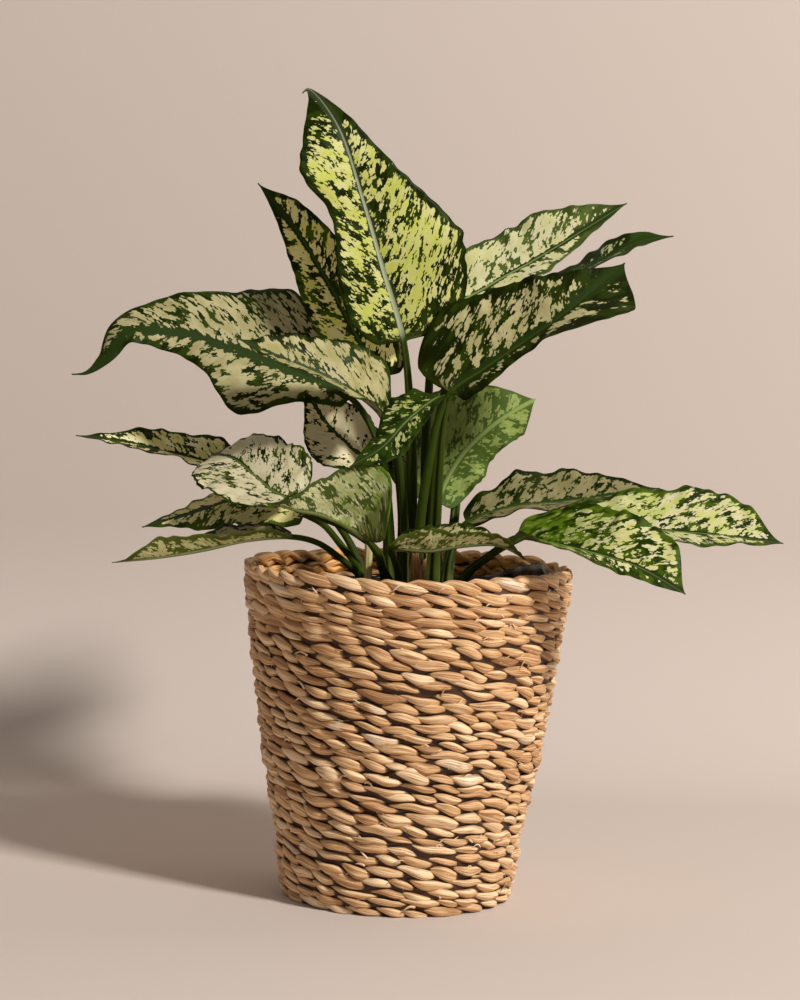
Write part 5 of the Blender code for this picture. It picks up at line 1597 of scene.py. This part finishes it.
@dataclass
class Studio:
    """Plain pale floor and backdrop, soft light and the camera."""

    camera_place: Point = (0.0024, -2.10, 0.470)
    pitch: float = 5.3
    yaw: float = -0.2
    roll: float = 1.7
    lens: float = 110.0
    wall_place: float = 0.55
    bend: float = 0.20
    key_azimuth: float = 46.0
    key_elevation: float = 37.0
    key_distance: float = 4.2
    key_size: float = 0.51
    key_power: float = 192.0
    fill: float = 0.22
    paper: Colour = (0.592, 0.508, 0.450)

    def camera(self) -> None:
        """Places the camera that takes the main view."""
        pitch, yaw, roll = (math.radians(angle) for angle in (self.pitch, self.yaw, self.roll))
        forward = Vector((math.sin(yaw) * math.cos(pitch), math.cos(yaw) * math.cos(pitch), -math.sin(pitch)))
        right = forward.cross(Vector((0, 0, 1))).normalized()
        up = right.cross(forward)
        tilted_right = right * math.cos(roll) + up * math.sin(roll)
        tilted_up = up * math.cos(roll) - right * math.sin(roll)
        data = bpy.data.cameras.new("camera")
        data.sensor_fit = "VERTICAL"
        data.sensor_width = data.sensor_height = 36.0
        data.lens = self.lens
        data.clip_start, data.clip_end = 0.05, 50.0
        camera = bpy.data.objects.new("camera", data)
        turned = Matrix((tilted_right, tilted_up, -forward)).transposed().to_4x4()
        camera.matrix_world = Matrix.Translation(self.camera_place) @ turned
        bpy.context.scene.collection.objects.link(camera)
        bpy.context.scene.camera = camera

    def sweep(self) -> bpy.types.Object:
        """The floor and the wall in one bent sheet, seen through from behind."""
        angle = np.linspace(0, math.pi / 2, 13)
        start = self.wall_place - self.bend
        line = [(-6.0, 0.0)] + [(start + self.bend * math.sin(a), self.bend * (1 - math.cos(a))) for a in angle]
        line += [(self.wall_place, 5.0)]
        points = np.array([[(x, y, z) for x in (-6.0, 6.0)] for y, z in line])
        material, bench, shader = new_material("studio_paper", Roughness=0.9)
        bench.feed(shader.inputs["Base Color"], self.paper)
        behind = bench.add("ShaderNodeNewGeometry", {}).outputs["Backfacing"]
        clear = bench.add("ShaderNodeBsdfTransparent", {}).outputs[0]
        mixed = bench.add("ShaderNodeMixShader", {0: behind, 1: shader.outputs[0], 2: clear}).outputs[0]
        bench.feed(material.node_tree.nodes["Material Output"].inputs["Surface"], mixed)
        parts = MeshParts()
        parts.add(points, grid_faces(len(line), 2), {})
        behind_wall = np.array([[(x, y, 0.0) for x in (-6.0, 6.0)] for y in (start, 6.0)])
        parts.add(behind_wall, grid_faces(2, 2), {})
        return parts.build("studio_sweep", material)

    def light(self, name: str, place: Point, target: Point, power: float, size: float, colour: Colour) -> None:
        """Adds a square soft light that faces a target."""
        data = bpy.data.lights.new(name, "AREA")
        data.energy, data.size, data.color = power, size, colour
        lamp = bpy.data.objects.new(name, data)
        lamp.location = place
        lamp.rotation_euler = (Vector(target) - Vector(place)).to_track_quat("-Z", "Y").to_euler()
        bpy.context.scene.collection.objects.link(lamp)

    def build(self) -> None:
        """Makes the studio."""
        self.sweep()
        turn, rise = math.radians(self.key_azimuth), math.radians(self.key_elevation)
        towards = (math.sin(turn) * math.cos(rise), -math.cos(turn) * math.cos(rise), math.sin(rise))
        target = (0.0, 0.0, 0.25)
        place = tuple(middle + self.key_distance * part for middle, part in zip(target, towards))
        self.light("key_light", place, target, self.key_power, self.key_size, (1.0, 0.98, 0.95))
        world = bpy.data.worlds.new("soft_fill")
        world.use_nodes = True
        background = world.node_tree.nodes["Background"]
        background.inputs["Color"].default_value = (1.0, 0.98, 0.95, 1.0)
        background.inputs["Strength"].default_value = self.fill
        scene = bpy.context.scene
        scene.world = world
        scene.view_settings.view_transform = "Standard"
        self.camera()


def main() -> None:
    """Builds every piece, in order, and the studio."""
    logging.basicConfig(level=logging.INFO, format="%(message)s")
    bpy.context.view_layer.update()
    paint = LeafPaint()
    for number, plan in enumerate(LEAVES):
        join_piece(Leaf(plan, number + 1).build(paint), plan.slot, plan.name)
    basket = Basket()
    straw = StrawPaint()
    for piece in (*basket.build(straw), Fibres().build(basket, straw)):
        join_piece(piece, "seagrass", "woven_basket")
    join_piece(Liner().build(basket), "black_film", "plastic_liner")
    join_piece(Soil().build(basket), "potting_soil", "potting_soil")
    join_piece(Stub().build(), "pale_stalk", "cut_stalk_stub")
    front = next(plan for plan in LEAVES if plan.name == "leaf_front_centre")
    root = (front.root[0] * CM + PLANT_SHIFT[0], front.root[1] * CM)
    join_piece(Sheath(root).build(), "dry_sheath", "dry_sheath")
    Studio().build()


if __name__ == "__main__":
    main()
